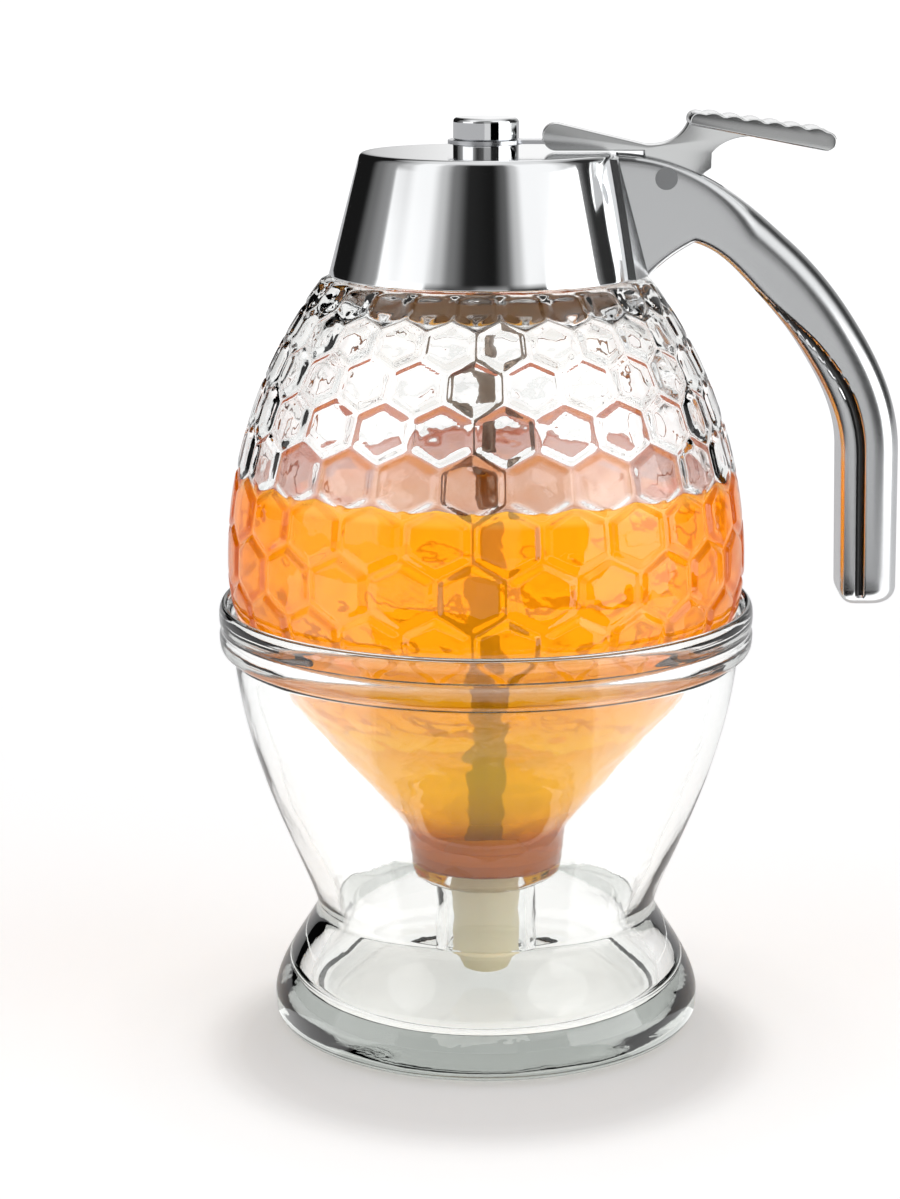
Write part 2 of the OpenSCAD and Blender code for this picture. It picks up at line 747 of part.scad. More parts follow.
// Middle line of the spring: closed end turns, and open turns between them
function spring_point(i) = let (
    turn = i / 8,
    last = spring_turns,
    climb = turn < 0.75 ? 0 : turn > last - 0.75 ? last - 1.5 : turn - 0.75,
    flat = min(turn, 0.75) + max(0, turn - last + 0.75),
    end_rise = wire_d + 0.45,
    open_rise = (spring_l - wire_d - 0.1 - 1.5 * end_rise) / (last - 1.5))
  [spring_mid_r * cos(360 * turn), spring_mid_r * sin(360 * turn),
   spring_low_z + wire_d / 2 + 0.05 + flat * end_rise + climb * open_rise];

spring_path = [for (i = [0:spring_rings]) spring_point(i)];
spring_gap = min([for (i = [0:spring_rings - 8])
  norm(spring_path[i + 8] - spring_path[i]) - 2 * wire_r]);
echo(least_gap_of_the_spring_to_itself = spring_gap);

module spring() {
  sides = 6;
  points = [for (i = [0:spring_rings]) let (
      p = spring_path[i],
      a = 360 * i / 8)
    each [for (k = [0:sides - 1]) let (b = 360 * k / sides + 30)
      [p[0] + wire_r * cos(b) * cos(a), p[1] + wire_r * cos(b) * sin(a), p[2] + wire_r * sin(b)]]];
  last = spring_rings * sides;
  faces = concat(
    [[for (k = [0:sides - 1]) k]],
    [for (i = [0:spring_rings - 1], k = [0:sides - 1]) let (
        a = i * sides + k,
        b = i * sides + (k + 1) % sides)
      each [[b, a, a + sides], [b, a + sides, b + sides]]],
    [[for (k = [sides - 1:-1:0]) last + k]]);
  color(steel)
    polyhedron(points, faces, convexity = 10);
}

module spring_washer() {
  color(steel)
    translate([0, 0, washer_z])
      difference() {
        cylinder(h = washer_t, d = spring_d + 1.6, $fn = small_fn);
        translate([0, 0, -1])
          cylinder(h = washer_t + 2, r = rod_r + fixed_fit, $fn = small_fn);
      }
}

module retaining_clip() {
  color(steel)
    translate([0, 0, clip_z])
      difference() {
        cylinder(h = washer_t, r = rod_d + 0.4, $fn = small_fn);
        translate([0, 0, -1])
          cylinder(h = washer_t + 2, r = rod_r - clip_groove + fixed_fit, $fn = small_fn);
        translate([0, -rod_r + clip_groove, -1])
          cube([spring_d, rod_d - 2 * clip_groove, washer_t + 2]);
      }
}

module stopper() {
  neck_r = 0.69 * tip_d / 2;
  low_r = 0.7 * tip_d / 2;
  color(silicone)
    rotate_extrude($fn = small_fn)
      polygon(concat(
        [[0, tip_z],
         [low_r, tip_z]],
        curve([tip_d / 2 - 0.2, tip_z + 0.45 * tip_l], [tip_d / 2, tip_z + 0.55 * tip_l],
              [neck_r + 0.5, tip_z + 0.75 * tip_l], [neck_r, tip_z + 0.85 * tip_l], 5),
        [[neck_r, outlet_z + 0.2],
         [stopper_d / 2, outlet_z + 0.7],
         [stopper_d / 2, valve_seat_z],
         [flange_d / 2, valve_seat_z],
         [flange_d / 2, valve_seat_z + flange_t - 0.6],
         [flange_d / 2 - 0.6, valve_seat_z + flange_t],
         [rod_r + 2.4, valve_seat_z + flange_t + 1],
         [rod_r + 1.4, valve_seat_z + flange_t + sleeve_h],
         [rod_r + fixed_fit, valve_seat_z + flange_t + sleeve_h],
         [rod_r + fixed_fit, rod_low_z],
         [0, rod_low_z]]));
}

glass_stand();
glass_jar();
honey();
lid_shell();
lid_liner();
lid_gasket();
guide_bush();
bush_nut();
handle_saddle();
handle();
handle_screws();
lever_pin();
lever();
lift_ring();
knob();
plunger_rod();
spring();
spring_washer();
retaining_clip();
stopper();
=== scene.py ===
"""Honey dispenser: a glass jar with a honeycomb relief, plunger valve and chrome lid, on a stand.

The sections follow the object as it is put together, from the stand up to the knob, then the room.
Outlines are written in millimetres and turned into metres where a mesh is made.
"""
from math import asin, atan2, cos, exp, pi, radians, sin, sqrt, tan

import bmesh
import bpy
import numpy as np
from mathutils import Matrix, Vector


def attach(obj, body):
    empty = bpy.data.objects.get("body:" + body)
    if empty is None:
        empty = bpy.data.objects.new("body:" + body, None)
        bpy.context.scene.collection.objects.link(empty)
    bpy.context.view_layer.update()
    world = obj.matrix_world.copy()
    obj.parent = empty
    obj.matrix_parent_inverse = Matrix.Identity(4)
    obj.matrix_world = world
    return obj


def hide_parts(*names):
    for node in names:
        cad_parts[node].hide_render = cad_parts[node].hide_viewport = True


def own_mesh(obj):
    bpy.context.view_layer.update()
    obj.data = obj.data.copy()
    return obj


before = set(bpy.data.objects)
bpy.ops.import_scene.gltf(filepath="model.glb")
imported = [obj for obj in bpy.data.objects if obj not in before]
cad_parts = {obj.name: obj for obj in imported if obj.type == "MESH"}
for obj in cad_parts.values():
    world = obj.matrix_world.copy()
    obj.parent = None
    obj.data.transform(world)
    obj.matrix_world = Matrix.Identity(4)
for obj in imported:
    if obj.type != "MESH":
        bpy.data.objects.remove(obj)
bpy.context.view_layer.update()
MM = 0.001

# -------------------------------------------------------------------------------------------------
# Stand. Pressed soda glass: a thick foot, a waist, a thin bowl and a rolled bead at the rim. The
# jar rests on a ledge just under the bead, so its outlet hangs free above the foot.
# -------------------------------------------------------------------------------------------------


def arc(cx, cz, r, start, end, n):
    """Points on an arc about (cx, cz) between two angles in degrees."""
    turns = [radians(start + (end - start) * i / n) for i in range(n + 1)]
    return [(cx + r * cos(a), cz + r * sin(a)) for a in turns]


def bezier(p, q, t, s, u):
    """The point at u, from 0 to 1, of a cubic curve from p to s with the handles q and t."""
    v = 1 - u
    return tuple(v**3 * a + 3 * v * v * u * b + 3 * v * u * u * c + u**3 * d
                 for a, b, c, d in zip(p, q, t, s))


def curve(p, q, t, s, n):
    """Points on a cubic curve from p to s with the handles q and t."""
    return [bezier(p, q, t, s, i / n) for i in range(n + 1)]


def soften(corners, step=1.2, bend=5):
    """A closed outline, with a corner (x, z, radius) rounded and long straight runs split."""
    count = len(corners)
    loop = []
    for i, corner in enumerate(corners):
        here = Vector(corner[:2])
        radius = corner[2] if len(corner) > 2 else 0
        if not radius:
            loop.append(here)
            continue
        back = Vector(corners[i - 1][:2]) - here
        ahead = Vector(corners[(i + 1) % count][:2]) - here
        start = here + back.normalized() * min(radius, back.length * 0.49)
        end = here + ahead.normalized() * min(radius, ahead.length * 0.49)
        for k in range(bend + 1):
            u = k / bend
            loop.append((1 - u) ** 2 * start + 2 * u * (1 - u) * here + u * u * end)
    fine = []
    for i, here in enumerate(loop):
        ahead = loop[(i + 1) % len(loop)]
        parts = max(1, round((ahead - here).length / step))
        fine += [here.lerp(ahead, k / parts) for k in range(parts)]
    return [tuple(p) for p in fine if p.x > -1e-9]


def piece_of(name, verts, faces, smooth_angle=180):
    """A new object from millimetre points, with its faces turned outwards and shaded smooth."""
    mesh = bpy.data.meshes.new(name)
    mesh.from_pydata([(x * MM, y * MM, z * MM) for x, y, z in verts], [], faces)
    work = bmesh.new()
    work.from_mesh(mesh)
    bmesh.ops.recalc_face_normals(work, faces=work.faces)
    work.to_mesh(mesh)
    work.free()
    mesh.shade_smooth()
    if smooth_angle < 180:
        mesh.set_sharp_from_angle(angle=radians(smooth_angle))
    piece = bpy.data.objects.new(name, mesh)
    bpy.context.scene.collection.objects.link(piece)
    return piece


def turned(name, outline, steps=192, swell=None, smooth_angle=180):
    """A piece turned about Z from a closed outline of (radius, height), as from a mould or a lathe.

    swell(i, turn) moves the point i of the outline at that turn and gives its radius and height.
    """
    verts, rings, faces = [], [], []
    for i, (r, z) in enumerate(outline):
        if r < 1e-6:
            rings.append([len(verts)] * steps)
            verts.append((0, 0, z))
            continue
        rings.append([len(verts) + k for k in range(steps)])
        for k in range(steps):
            a = 2 * pi * k / steps
            rr, zz = swell(i, k) if swell else (r, z)
            verts.append((rr * cos(a), rr * sin(a), zz))
    for i, low in enumerate(rings):
        high = rings[(i + 1) % len(rings)]
        if low[0] == low[1] and high[0] == high[1]:
            continue
        for k in range(steps):
            j = (k + 1) % steps
            faces.append(list(dict.fromkeys((low[k], low[j], high[j], high[k]))))
    return piece_of(name, verts, faces, smooth_angle)


def effect_group(name, inputs, outputs):
    """An empty shader node group with named number inputs, and outputs of the given kinds."""
    group = bpy.data.node_groups.new(name, "ShaderNodeTree")
    sockets = group.interface
    for label, value in inputs.items():
        socket = sockets.new_socket(name=label, in_out="INPUT", socket_type="NodeSocketFloat")
        socket.default_value = value
    for label, kind in outputs.items():
        sockets.new_socket(name=label, in_out="OUTPUT", socket_type=f"NodeSocket{kind}")
    return group, group.nodes.new("NodeGroupInput"), group.nodes.new("NodeGroupOutput")


# Waves of about a finger's width that the mould and the gob of glass leave in pressed glass
mould_waves, given, result = effect_group(
    "mould waves", {"Wave Scale": 60, "Fine Scale": 260, "Fine Share": 0.15}, {"Height": "Float"})
place = mould_waves.nodes.new("ShaderNodeTexCoord")
broad = mould_waves.nodes.new("ShaderNodeTexNoise")
fine = mould_waves.nodes.new("ShaderNodeTexNoise")
broad.inputs["Detail"].default_value = 1
fine.inputs["Detail"].default_value = 2
mixed = mould_waves.nodes.new("ShaderNodeMath")
mixed.operation = "MULTIPLY_ADD"
mould_waves.links.new(place.outputs["Object"], broad.inputs["Vector"])
mould_waves.links.new(place.outputs["Object"], fine.inputs["Vector"])
mould_waves.links.new(given.outputs["Wave Scale"], broad.inputs["Scale"])
mould_waves.links.new(given.outputs["Fine Scale"], fine.inputs["Scale"])
mould_waves.links.new(fine.outputs["Fac"], mixed.inputs[0])
mould_waves.links.new(given.outputs["Fine Share"], mixed.inputs[1])
mould_waves.links.new(broad.outputs["Fac"], mixed.inputs[2])
mould_waves.links.new(mixed.outputs[0], result.inputs["Height"])


def shader_of(name):
    """A new node material and its Principled shader."""
    material = bpy.data.materials.new(name)
    material.use_nodes = True
    return material, material.node_tree, material.node_tree.nodes["Principled BSDF"]


def place_group(tree, group, **values):
    """A node group placed in a material with its own values."""
    node = tree.nodes.new("ShaderNodeGroup")
    node.node_tree = group
    for label, value in values.items():
        node.inputs[label.replace("_", " ").title()].default_value = value
    return node


def bumped(tree, shader, height, depth, strength=1.0):
    """Feeds a height into the shader's normal; depth is the relief of the bump in metres."""
    bump = tree.nodes.new("ShaderNodeBump")
    bump.inputs["Strength"].default_value = strength
    bump.inputs["Distance"].default_value = depth
    tree.links.new(height, bump.inputs["Height"])
    tree.links.new(bump.outputs["Normal"], shader.inputs["Normal"])


def lit_through(tree, shader, tint):
    """Lets the lamps' light straight through with a tint, so that what is behind is lit."""
    path = tree.nodes.new("ShaderNodeLightPath")
    through = tree.nodes.new("ShaderNodeBsdfTransparent")
    mix = tree.nodes.new("ShaderNodeMixShader")
    through.inputs["Color"].default_value = (*tint, 1)
    tree.links.new(path.outputs["Is Shadow Ray"], mix.inputs["Fac"])
    tree.links.new(shader.outputs["BSDF"], mix.inputs[1])
    tree.links.new(through.outputs["BSDF"], mix.inputs[2])
    tree.links.new(mix.outputs["Shader"], tree.nodes["Material Output"].inputs["Surface"])


def pressed_glass(name, colour, wave_depth, wave_scale, fine_share):
    """Clear pressed glass with the waves that its mould leaves."""
    material, tree, shader = shader_of(name)
    lit_through(tree, shader, [0.96 * c for c in colour])
    shader.inputs["Base Color"].default_value = (*colour, 1)
    shader.inputs["Transmission Weight"].default_value = 1
    shader.inputs["Roughness"].default_value = 0.0
    shader.inputs["IOR"].default_value = 1.5
    waves = place_group(tree, mould_waves, wave_scale=wave_scale, fine_share=fine_share)
    bumped(tree, shader, waves.outputs["Height"], wave_depth)
    return material


RIM_R, RIM_IN_R, RIM_Z = 43.0, 41.6, 71.0
LEDGE_Z, BOWL_R = 62.0, 40.7
SEAT_OUT_R, SEAT_IN_R = 39.3, 37.2
WAIST_R, WAIST_Z = 27.6, 19.8
FOOT_R, FOOT_EDGE, FLOOR_Z, STAND_WALL = 34.8, 5.3, 5.2, 3.3

bowl_h = LEDGE_Z - WAIST_Z
inner_waist_r = WAIST_R - STAND_WALL
stand_outline = soften(
    [(0, 0)]
    + [(FOOT_R - 6, 0, 1), (FOOT_R - 5, 0.5, 1), (FOOT_R - 1.5, 0.5, 1), (FOOT_R, 2.0, 1.5)]
    + curve((FOOT_R, FOOT_EDGE), (FOOT_R - 0.6, FOOT_EDGE + 5), (WAIST_R + 0.3, WAIST_Z - 2.4),
            (WAIST_R, WAIST_Z), 22)
    + curve((WAIST_R, WAIST_Z), (WAIST_R + 1, WAIST_Z + 0.15 * bowl_h),
            (BOWL_R - 1.8, WAIST_Z + 0.53 * bowl_h), (BOWL_R, LEDGE_Z), 40)[1:]
    + curve((BOWL_R + 0.1, LEDGE_Z + 0.5), (RIM_R - 0.3, LEDGE_Z + 0.7), (RIM_R, LEDGE_Z + 1.4),
            (RIM_R, LEDGE_Z + 3.6), 8)
    + [(RIM_R - 0.35, LEDGE_Z + 4.6, 0.8), (RIM_R, LEDGE_Z + 5.6, 0.8), (RIM_R, RIM_Z - 1.2, 0.9),
       (RIM_R - 0.7, RIM_Z, 0.6), (RIM_IN_R, RIM_Z - 0.9, 0.5)]
    + [(RIM_IN_R - 1.2, LEDGE_Z + 3.9, 0.8), (SEAT_OUT_R + 0.4, LEDGE_Z + 2.2, 1.2),
       (SEAT_OUT_R, LEDGE_Z, 0.4), (SEAT_IN_R, LEDGE_Z, 0.8)]
    + curve((SEAT_IN_R - 0.2, LEDGE_Z - 2), (BOWL_R - 1.8 - STAND_WALL, WAIST_Z + 0.53 * bowl_h),
            (inner_waist_r + 1, WAIST_Z + 0.15 * bowl_h), (inner_waist_r, WAIST_Z), 36)
    + curve((inner_waist_r, WAIST_Z - 1), (inner_waist_r, WAIST_Z - 4),
            (FOOT_R - 7, FLOOR_Z + 6), (FOOT_R - 6, FLOOR_Z + 2.5), 12)
    + [(FOOT_R - 7.4, FLOOR_Z + 0.4, 1.2), (FOOT_R - 10, FLOOR_Z, 2), (0, FLOOR_Z)])
stand = turned("stand_glass_body", stand_outline, steps=256)
stand_glass = pressed_glass("stand glass", (0.965, 0.97, 0.965), 0.00035, 55, 0.05)
# Iron in the glass, which shows as grey green where it is thick
tree = stand_glass.node_tree
iron = tree.nodes.new("ShaderNodeVolumeAbsorption")
iron.inputs["Color"].default_value = (0.54, 0.57, 0.54, 1)
iron.inputs["Density"].default_value = 24
tree.links.new(iron.outputs["Volume"], tree.nodes["Material Output"].inputs["Volume"])
stand.data.materials.append(stand_glass)
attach(stand, "stand")
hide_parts("glass_stand")

# -------------------------------------------------------------------------------------------------
# Jar. One piece of moulded glass: threaded neck, shoulder, an egg-shaped body with raised hexagons,
# a funnel, a well and the outlet tube that the stopper closes. It stands on the stand's ledge.
# -------------------------------------------------------------------------------------------------
JAR_R, BELLY_Z, SHOULDER_Z, JAR_WALL = 41.0, 76.7, 122.5, 2.2
UPPER_R, LOWER_R = 74.1, 25.4
UPPER_CX, LOWER_CX = JAR_R - UPPER_R, JAR_R - LOWER_R
FUNNEL_SLOPE = radians(50.7)
WELL_R, WELL_Z, SEAT_Z = 13.0, 24.8, 27.0
TUBE_R, TUBE_BORE, TUBE_LOW_Z = 8.2, 6.6, 12.6
NECK_R, MOUTH_R, NECK_TOP_Z = 17.4, 15.0, 134.1
STEP_R, STEP_Z, THICK_CORNER_Z = 38.0, 62.0, 114.8
HEX_COUNT, HEX_ROWS, HEX_SQUASH = 24, 7, 0.89
RELIEF, GROOVE = 0.5, 1.0
HEX_TURN = -3.0


def funnel_z(inset, r):
    """Height at which the funnel's face, moved inwards by inset, has the radius r."""
    end = FUNNEL_SLOPE - pi / 2
    return (BELLY_Z + (LOWER_R - inset) * sin(end)
            - (LOWER_CX + (LOWER_R - inset) * cos(end) - r) * tan(FUNNEL_SLOPE))


def jar_inside(inset, top_z):
    """The jar's inner face from top_z down to the well, moved inwards by inset."""
    top = asin((top_z - BELLY_Z) / (UPPER_R - inset)) * 180 / pi
    end = FUNNEL_SLOPE * 180 / pi - 90
    low_r = WELL_R - inset
    return (arc(UPPER_CX, BELLY_Z, UPPER_R - inset, top, 1, 44)
            + arc(LOWER_CX, BELLY_Z, LOWER_R - inset, 0, end, 20)
            + [(low_r, funnel_z(inset, low_r), 2.5), (low_r - 1, SEAT_Z, 0.8)])


shoulder_a = asin((SHOULDER_Z - BELLY_Z) / UPPER_R) * 180 / pi
corner_low = jar_inside(JAR_WALL, THICK_CORNER_Z)[0]
inner_shoulder_z = SHOULDER_Z - JAR_WALL
jar_outline = soften(
    [(TUBE_BORE, TUBE_LOW_Z, 0.5), (TUBE_R, TUBE_LOW_Z, 0.6), (TUBE_R, WELL_Z, 1.2),
     (WELL_R - 1, WELL_Z, 1.6), (WELL_R, funnel_z(0, WELL_R), 2.5)]
    + arc(LOWER_CX, BELLY_Z, LOWER_R, FUNNEL_SLOPE * 180 / pi - 90, -24, 5)
    + [(36.3, STEP_Z, 0.3), (STEP_R, STEP_Z, 0.3), (STEP_R, 64.4, 0.3)]
    + arc(LOWER_CX, BELLY_Z, LOWER_R, -23, 0, 26)
    + arc(UPPER_CX, BELLY_Z, UPPER_R, 0.35, shoulder_a, 112)
    + [(NECK_R, SHOULDER_Z, 1.2), (NECK_R, NECK_TOP_Z, 0.9), (MOUTH_R, NECK_TOP_Z, 0.9),
       (MOUTH_R, inner_shoulder_z, 1.5)]
    + curve((18.5, inner_shoulder_z), (22.5, inner_shoulder_z - 0.2), (25.9, 117.6),
            corner_low[:2], 12)
    + jar_inside(JAR_WALL, corner_low[1])[1:]
    + [(TUBE_BORE, SEAT_Z, 0.6)], step=1.0)

# Rows of hexagons, as lengths along the outline from the widest point, the lowest row first
row_runs = [LOWER_R * radians(-13)]
row_angle = radians(2.1)
for row in range(HEX_ROWS):
    row_runs.append(UPPER_R * row_angle)
    row_r = UPPER_CX + UPPER_R * cos(row_angle)
    row_angle += HEX_SQUASH * sqrt(3) / 2 * 2 * pi / HEX_COUNT * row_r / UPPER_R


def relief_at(run, r, turn_deg):
    """Height of the relief at a length from the widest point, a radius and a turn about Z."""
    half = pi * r / HEX_COUNT
    row = np.interp(run, [row_runs[0] - 8.4] + row_runs + [row_runs[-1] + 5.6],
                    range(-1, len(row_runs) + 1))
    nearest = 9.0
    for i in (int(row), int(row) + 1):
        if not 0 <= i < len(row_runs):
            continue
        across = (turn_deg - HEX_TURN) * HEX_COUNT / 360 - ((i + 1) % 2) / 2
        x = abs(across - round(across)) * 2
        y = abs(row - i) * sqrt(3)
        nearest = min(nearest, max(x, x / 2 + y * sqrt(3) / 2))
    inside = (1 - nearest) * half
    rise = min(1, max(0, (inside - 0.22 * GROOVE) / (1.05 * GROOVE)))
    return RELIEF * (0.82 * rise * rise * (3 - 2 * rise) + 0.18 * max(0, 1 - nearest) ** 0.5)


JAR_STEPS = HEX_COUNT * 24
shoulder_i = max(i for i, (r, z) in enumerate(jar_outline) if abs(z - SHOULDER_Z) < 0.01 and r > 25)


def jar_swell(i, k):
    """A point of the jar with the relief added square to the outline."""
    r, z = jar_outline[i]
    if i > shoulder_i or z < STEP_Z:
        return r, z
    if z >= BELLY_Z:
        run = UPPER_R * atan2(z - BELLY_Z, r - UPPER_CX)
        away = ((r - UPPER_CX) / UPPER_R, (z - BELLY_Z) / UPPER_R)
    else:
        run = LOWER_R * atan2(z - BELLY_Z, r - LOWER_CX)
        away = ((r - LOWER_CX) / LOWER_R, (z - BELLY_Z) / LOWER_R)
    fade = min(1, max(0, (SHOULDER_Z - z) / 0.6)) * min(1, max(0, (z - 65.5) / 1.0))
    h = relief_at(run, r, 360 * k / JAR_STEPS) * fade
    return r + h * away[0], z + h * away[1]


jar = turned("jar_glass_body", jar_outline, steps=JAR_STEPS, swell=jar_swell)
jar.data.materials.append(pressed_glass("jar glass", (0.985, 0.99, 0.985), 0.0004, 130, 0.15))
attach(jar, "jar")
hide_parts("glass_jar")

# -------------------------------------------------------------------------------------------------
# Honey. Fills the jar to its level, wets the glass, climbs a little where it meets the wall and the
# rod, and is painted deeper in colour where little light comes through, down in the well.
# -------------------------------------------------------------------------------------------------
HONEY_Z, WETTING = 91.0, 0.04
ROD_R, ROOM_TOP_Z = 2.0, 34.95


def ranged(tree, value, low, high, to_low=0, to_high=1):
    """A value moved from the range low to high into another range, and held inside it."""
    node = tree.nodes.new("ShaderNodeMapRange")
    for label, number in (("From Min", low), ("From Max", high),
                          ("To Min", to_low), ("To Max", to_high)):
        node.inputs[label].default_value = number
    tree.links.new(value, node.inputs["Value"])
    return node.outputs["Result"]


def multiplied(tree, a, b):
    """The product of two values."""
    node = tree.nodes.new("ShaderNodeMath")
    node.operation = "MULTIPLY"
    tree.links.new(a, node.inputs[0])
    tree.links.new(b, node.inputs[1])
    return node.outputs[0]


def mixed_colour(tree, factor, a, b):
    """A mix of two colours, each of them a node's output or three numbers."""
    node = tree.nodes.new("ShaderNodeMix")
    node.data_type = "RGBA"
    tree.links.new(factor, node.inputs["Factor"])
    for label, colour in (("A", a), ("B", b)):
        if isinstance(colour, tuple):
            node.inputs[label].default_value = (*colour, 1)
        else:
            tree.links.new(colour, node.inputs[label])
    return node.outputs["Result"]


honey_wall = jar_inside(JAR_WALL - WETTING, HONEY_Z + 0.6)
surface_r = honey_wall[0][0]
honey_outline = soften(
    [(ROD_R - 0.02, HONEY_Z + 0.5), (ROD_R + 0.4, HONEY_Z + 0.15, 0.4), (ROD_R + 1.6, HONEY_Z, 1),
     (surface_r - 2.2, HONEY_Z, 1.4)]
    + honey_wall
    + [(8.0, SEAT_Z - 0.02), (7.95, 28.8, 0.3), (7.3, 29.45, 0.3), (4.35, 30.45, 0.4),
       (3.35, ROOM_TOP_Z, 0.1), (ROD_R - 0.02, ROOM_TOP_Z)], step=1.5)
honey = turned("honey_body", honey_outline, steps=160)
honey_look, tree, shader = shader_of("honey")
shader.inputs["Transmission Weight"].default_value = 0.7
shader.inputs["Roughness"].default_value = 0.0
shader.inputs["IOR"].default_value = 1.5
shader.inputs["Specular Tint"].default_value = (0, 0, 0, 1)
place = tree.nodes.new("ShaderNodeTexCoord")
apart = tree.nodes.new("ShaderNodeSeparateXYZ")
tree.links.new(place.outputs["Object"], apart.inputs["Vector"])
height = apart.outputs["Z"]
# The honey's colour by height, with painted shade: darker down in the well, where little light
# comes through
height_tint_and_shade = tree.nodes.new("ShaderNodeValToRGB")
height_tint_and_shade.color_ramp.elements[0].color = (0.42, 0.10, 0.003, 1)
height_tint_and_shade.color_ramp.elements[1].color = (1.0, 0.62, 0.14, 1)
for at, colour in ((0.1, (0.50, 0.13, 0.004)), (0.2, (0.98, 0.55, 0.012)),
                   (0.35, (1.0, 0.66, 0.015)), (0.62, (1.0, 0.40, 0.006)),
                   (0.97, (1.0, 0.33, 0.004))):
    height_tint_and_shade.color_ramp.elements.new(at).color = (*colour, 1)
tree.links.new(ranged(tree, height, 0.027, 0.091), height_tint_and_shade.inputs["Fac"])
# Painted shade at the sides of the wide part: seen at a glance, more honey lies behind each point
# there
glance = tree.nodes.new("ShaderNodeLayerWeight")
painted_rim_shade = multiplied(tree, ranged(tree, glance.outputs["Facing"], 0.08, 0.5),
                      ranged(tree, height, 0.055, 0.068))
honey_tone = mixed_colour(tree, painted_rim_shade, height_tint_and_shade.outputs["Color"], (0.46, 0.10, 0.001))
tree.links.new(honey_tone, shader.inputs["Base Color"])
# Painted glow for the light that scatters in the honey: little of it down in the well and on the
# level surface
painted_glow = multiplied(tree, ranged(tree, height, 0.034, 0.046, 0.06, 0.22),
                       ranged(tree, height, 0.0898, 0.0908, 1, 0.1))
tree.links.new(honey_tone, shader.inputs["Emission Color"])
tree.links.new(painted_glow, shader.inputs["Emission Strength"])
lit_through(tree, shader, (0.98, 0.62, 0.16))
honey.data.materials.append(honey_look)
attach(honey, "jar")
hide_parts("honey")

# -------------------------------------------------------------------------------------------------
# Plunger in the jar: a drawn steel rod, a stopper of soft silicone pressed on its lower end, and a
# washer, a clip and a coil spring near the neck that press the stopper down on its seat.
# -------------------------------------------------------------------------------------------------
# Fine streaks and a patchy polish, from wiping and handling
worn_metal, given, result = effect_group(
    "worn metal", {"Streak Scale": 40, "Stretch": 8, "Least": 0.05, "Most": 0.12},
    {"Roughness": "Float", "Height": "Float", "Shade": "Float"})
place = worn_metal.nodes.new("ShaderNodeTexCoord")
stretched = worn_metal.nodes.new("ShaderNodeCombineXYZ")
scaled = worn_metal.nodes.new("ShaderNodeVectorMath")
scaled.operation = "MULTIPLY"
streaks = worn_metal.nodes.new("ShaderNodeTexNoise")
streaks.inputs["Detail"].default_value = 6
patches = worn_metal.nodes.new("ShaderNodeTexNoise")
patches.inputs["Scale"].default_value = 45
patches.inputs["Detail"].default_value = 3
spread = worn_metal.nodes.new("ShaderNodeMapRange")
stretched.inputs["X"].default_value = 1
stretched.inputs["Y"].default_value = 1
worn_metal.links.new(given.outputs["Stretch"], stretched.inputs["Z"])
worn_metal.links.new(place.outputs["Object"], scaled.inputs[0])
worn_metal.links.new(stretched.outputs["Vector"], scaled.inputs[1])
worn_metal.links.new(scaled.outputs["Vector"], streaks.inputs["Vector"])
worn_metal.links.new(given.outputs["Streak Scale"], streaks.inputs["Scale"])
worn_metal.links.new(place.outputs["Object"], patches.inputs["Vector"])
worn_metal.links.new(patches.outputs["Fac"], spread.inputs["Value"])
worn_metal.links.new(given.outputs["Least"], spread.inputs["To Min"])
worn_metal.links.new(given.outputs["Most"], spread.inputs["To Max"])
worn_metal.links.new(spread.outputs["Result"], result.inputs["Roughness"])
worn_metal.links.new(streaks.outputs["Fac"], result.inputs["Height"])
worn_metal.links.new(patches.outputs["Fac"], result.inputs["Shade"])


def two_tones(tree, shader, value, dark, light):
    """Lets the shader's colour drift between two tones with a value."""
    tone = tree.nodes.new("ShaderNodeValToRGB")
    tone.color_ramp.elements[0].color = (*dark, 1)
    tone.color_ramp.elements[1].color = (*light, 1)
    tree.links.new(value, tone.inputs["Fac"])
    tree.links.new(tone.outputs["Color"], shader.inputs["Base Color"])


def metal(name, dark, light, least, most, streak_scale, stretch, depth):
    """Bare or plated metal that drifts between two tones, with streaks and a patchy polish."""
    material, tree, shader = shader_of(name)
    shader.inputs["Metallic"].default_value = 1
    wear = place_group(tree, worn_metal, streak_scale=streak_scale, stretch=stretch,
                       least=least, most=most)
    two_tones(tree, shader, wear.outputs["Shade"], dark, light)
    tree.links.new(wear.outputs["Roughness"], shader.inputs["Roughness"])
    bumped(tree, shader, wear.outputs["Height"], depth)
    return material


def dress(node, material):
    """Gives a CAD node its finish."""
    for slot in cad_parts[node].material_slots:
        slot.material = material


# The rod's dark brown is painted shade, the look it has deep in the honey, not the steel's own
# colour
rod_painted_dark = metal("drawn rod painted dark", (0.16, 0.12, 0.09), (0.26, 0.21, 0.17),
                  0.2, 0.32, 300, 0.1, 0.00002)
bright_steel = metal("bright steel", (0.56, 0.57, 0.59), (0.66, 0.67, 0.69),
                     0.16, 0.3, 220, 1, 0.00002)
dress("plunger_rod", rod_painted_dark)
dress("spring_washer", bright_steel)
dress("retaining_clip", bright_steel)


def moulded(name, roughness, grain_scale, dark, light, depth):
    """Moulded rubber or plastic with a fine grain, and its shader."""
    material, tree, shader = shader_of(name)
    shader.inputs["Roughness"].default_value = roughness
    grain = tree.nodes.new("ShaderNodeTexNoise")
    grain.inputs["Scale"].default_value = grain_scale
    two_tones(tree, shader, grain.outputs["Fac"], dark, light)
    bumped(tree, shader, grain.outputs["Fac"], depth)
    return material, shader


silicone, shader = moulded("silicone", 0.38, 220, (0.78, 0.68, 0.44), (0.86, 0.78, 0.56), 0.00004)
shader.inputs["Subsurface Weight"].default_value = 0.35
shader.inputs["Subsurface Radius"].default_value = (0.004, 0.003, 0.002)
dress("stopper", silicone)
dress("lid_gasket", silicone)

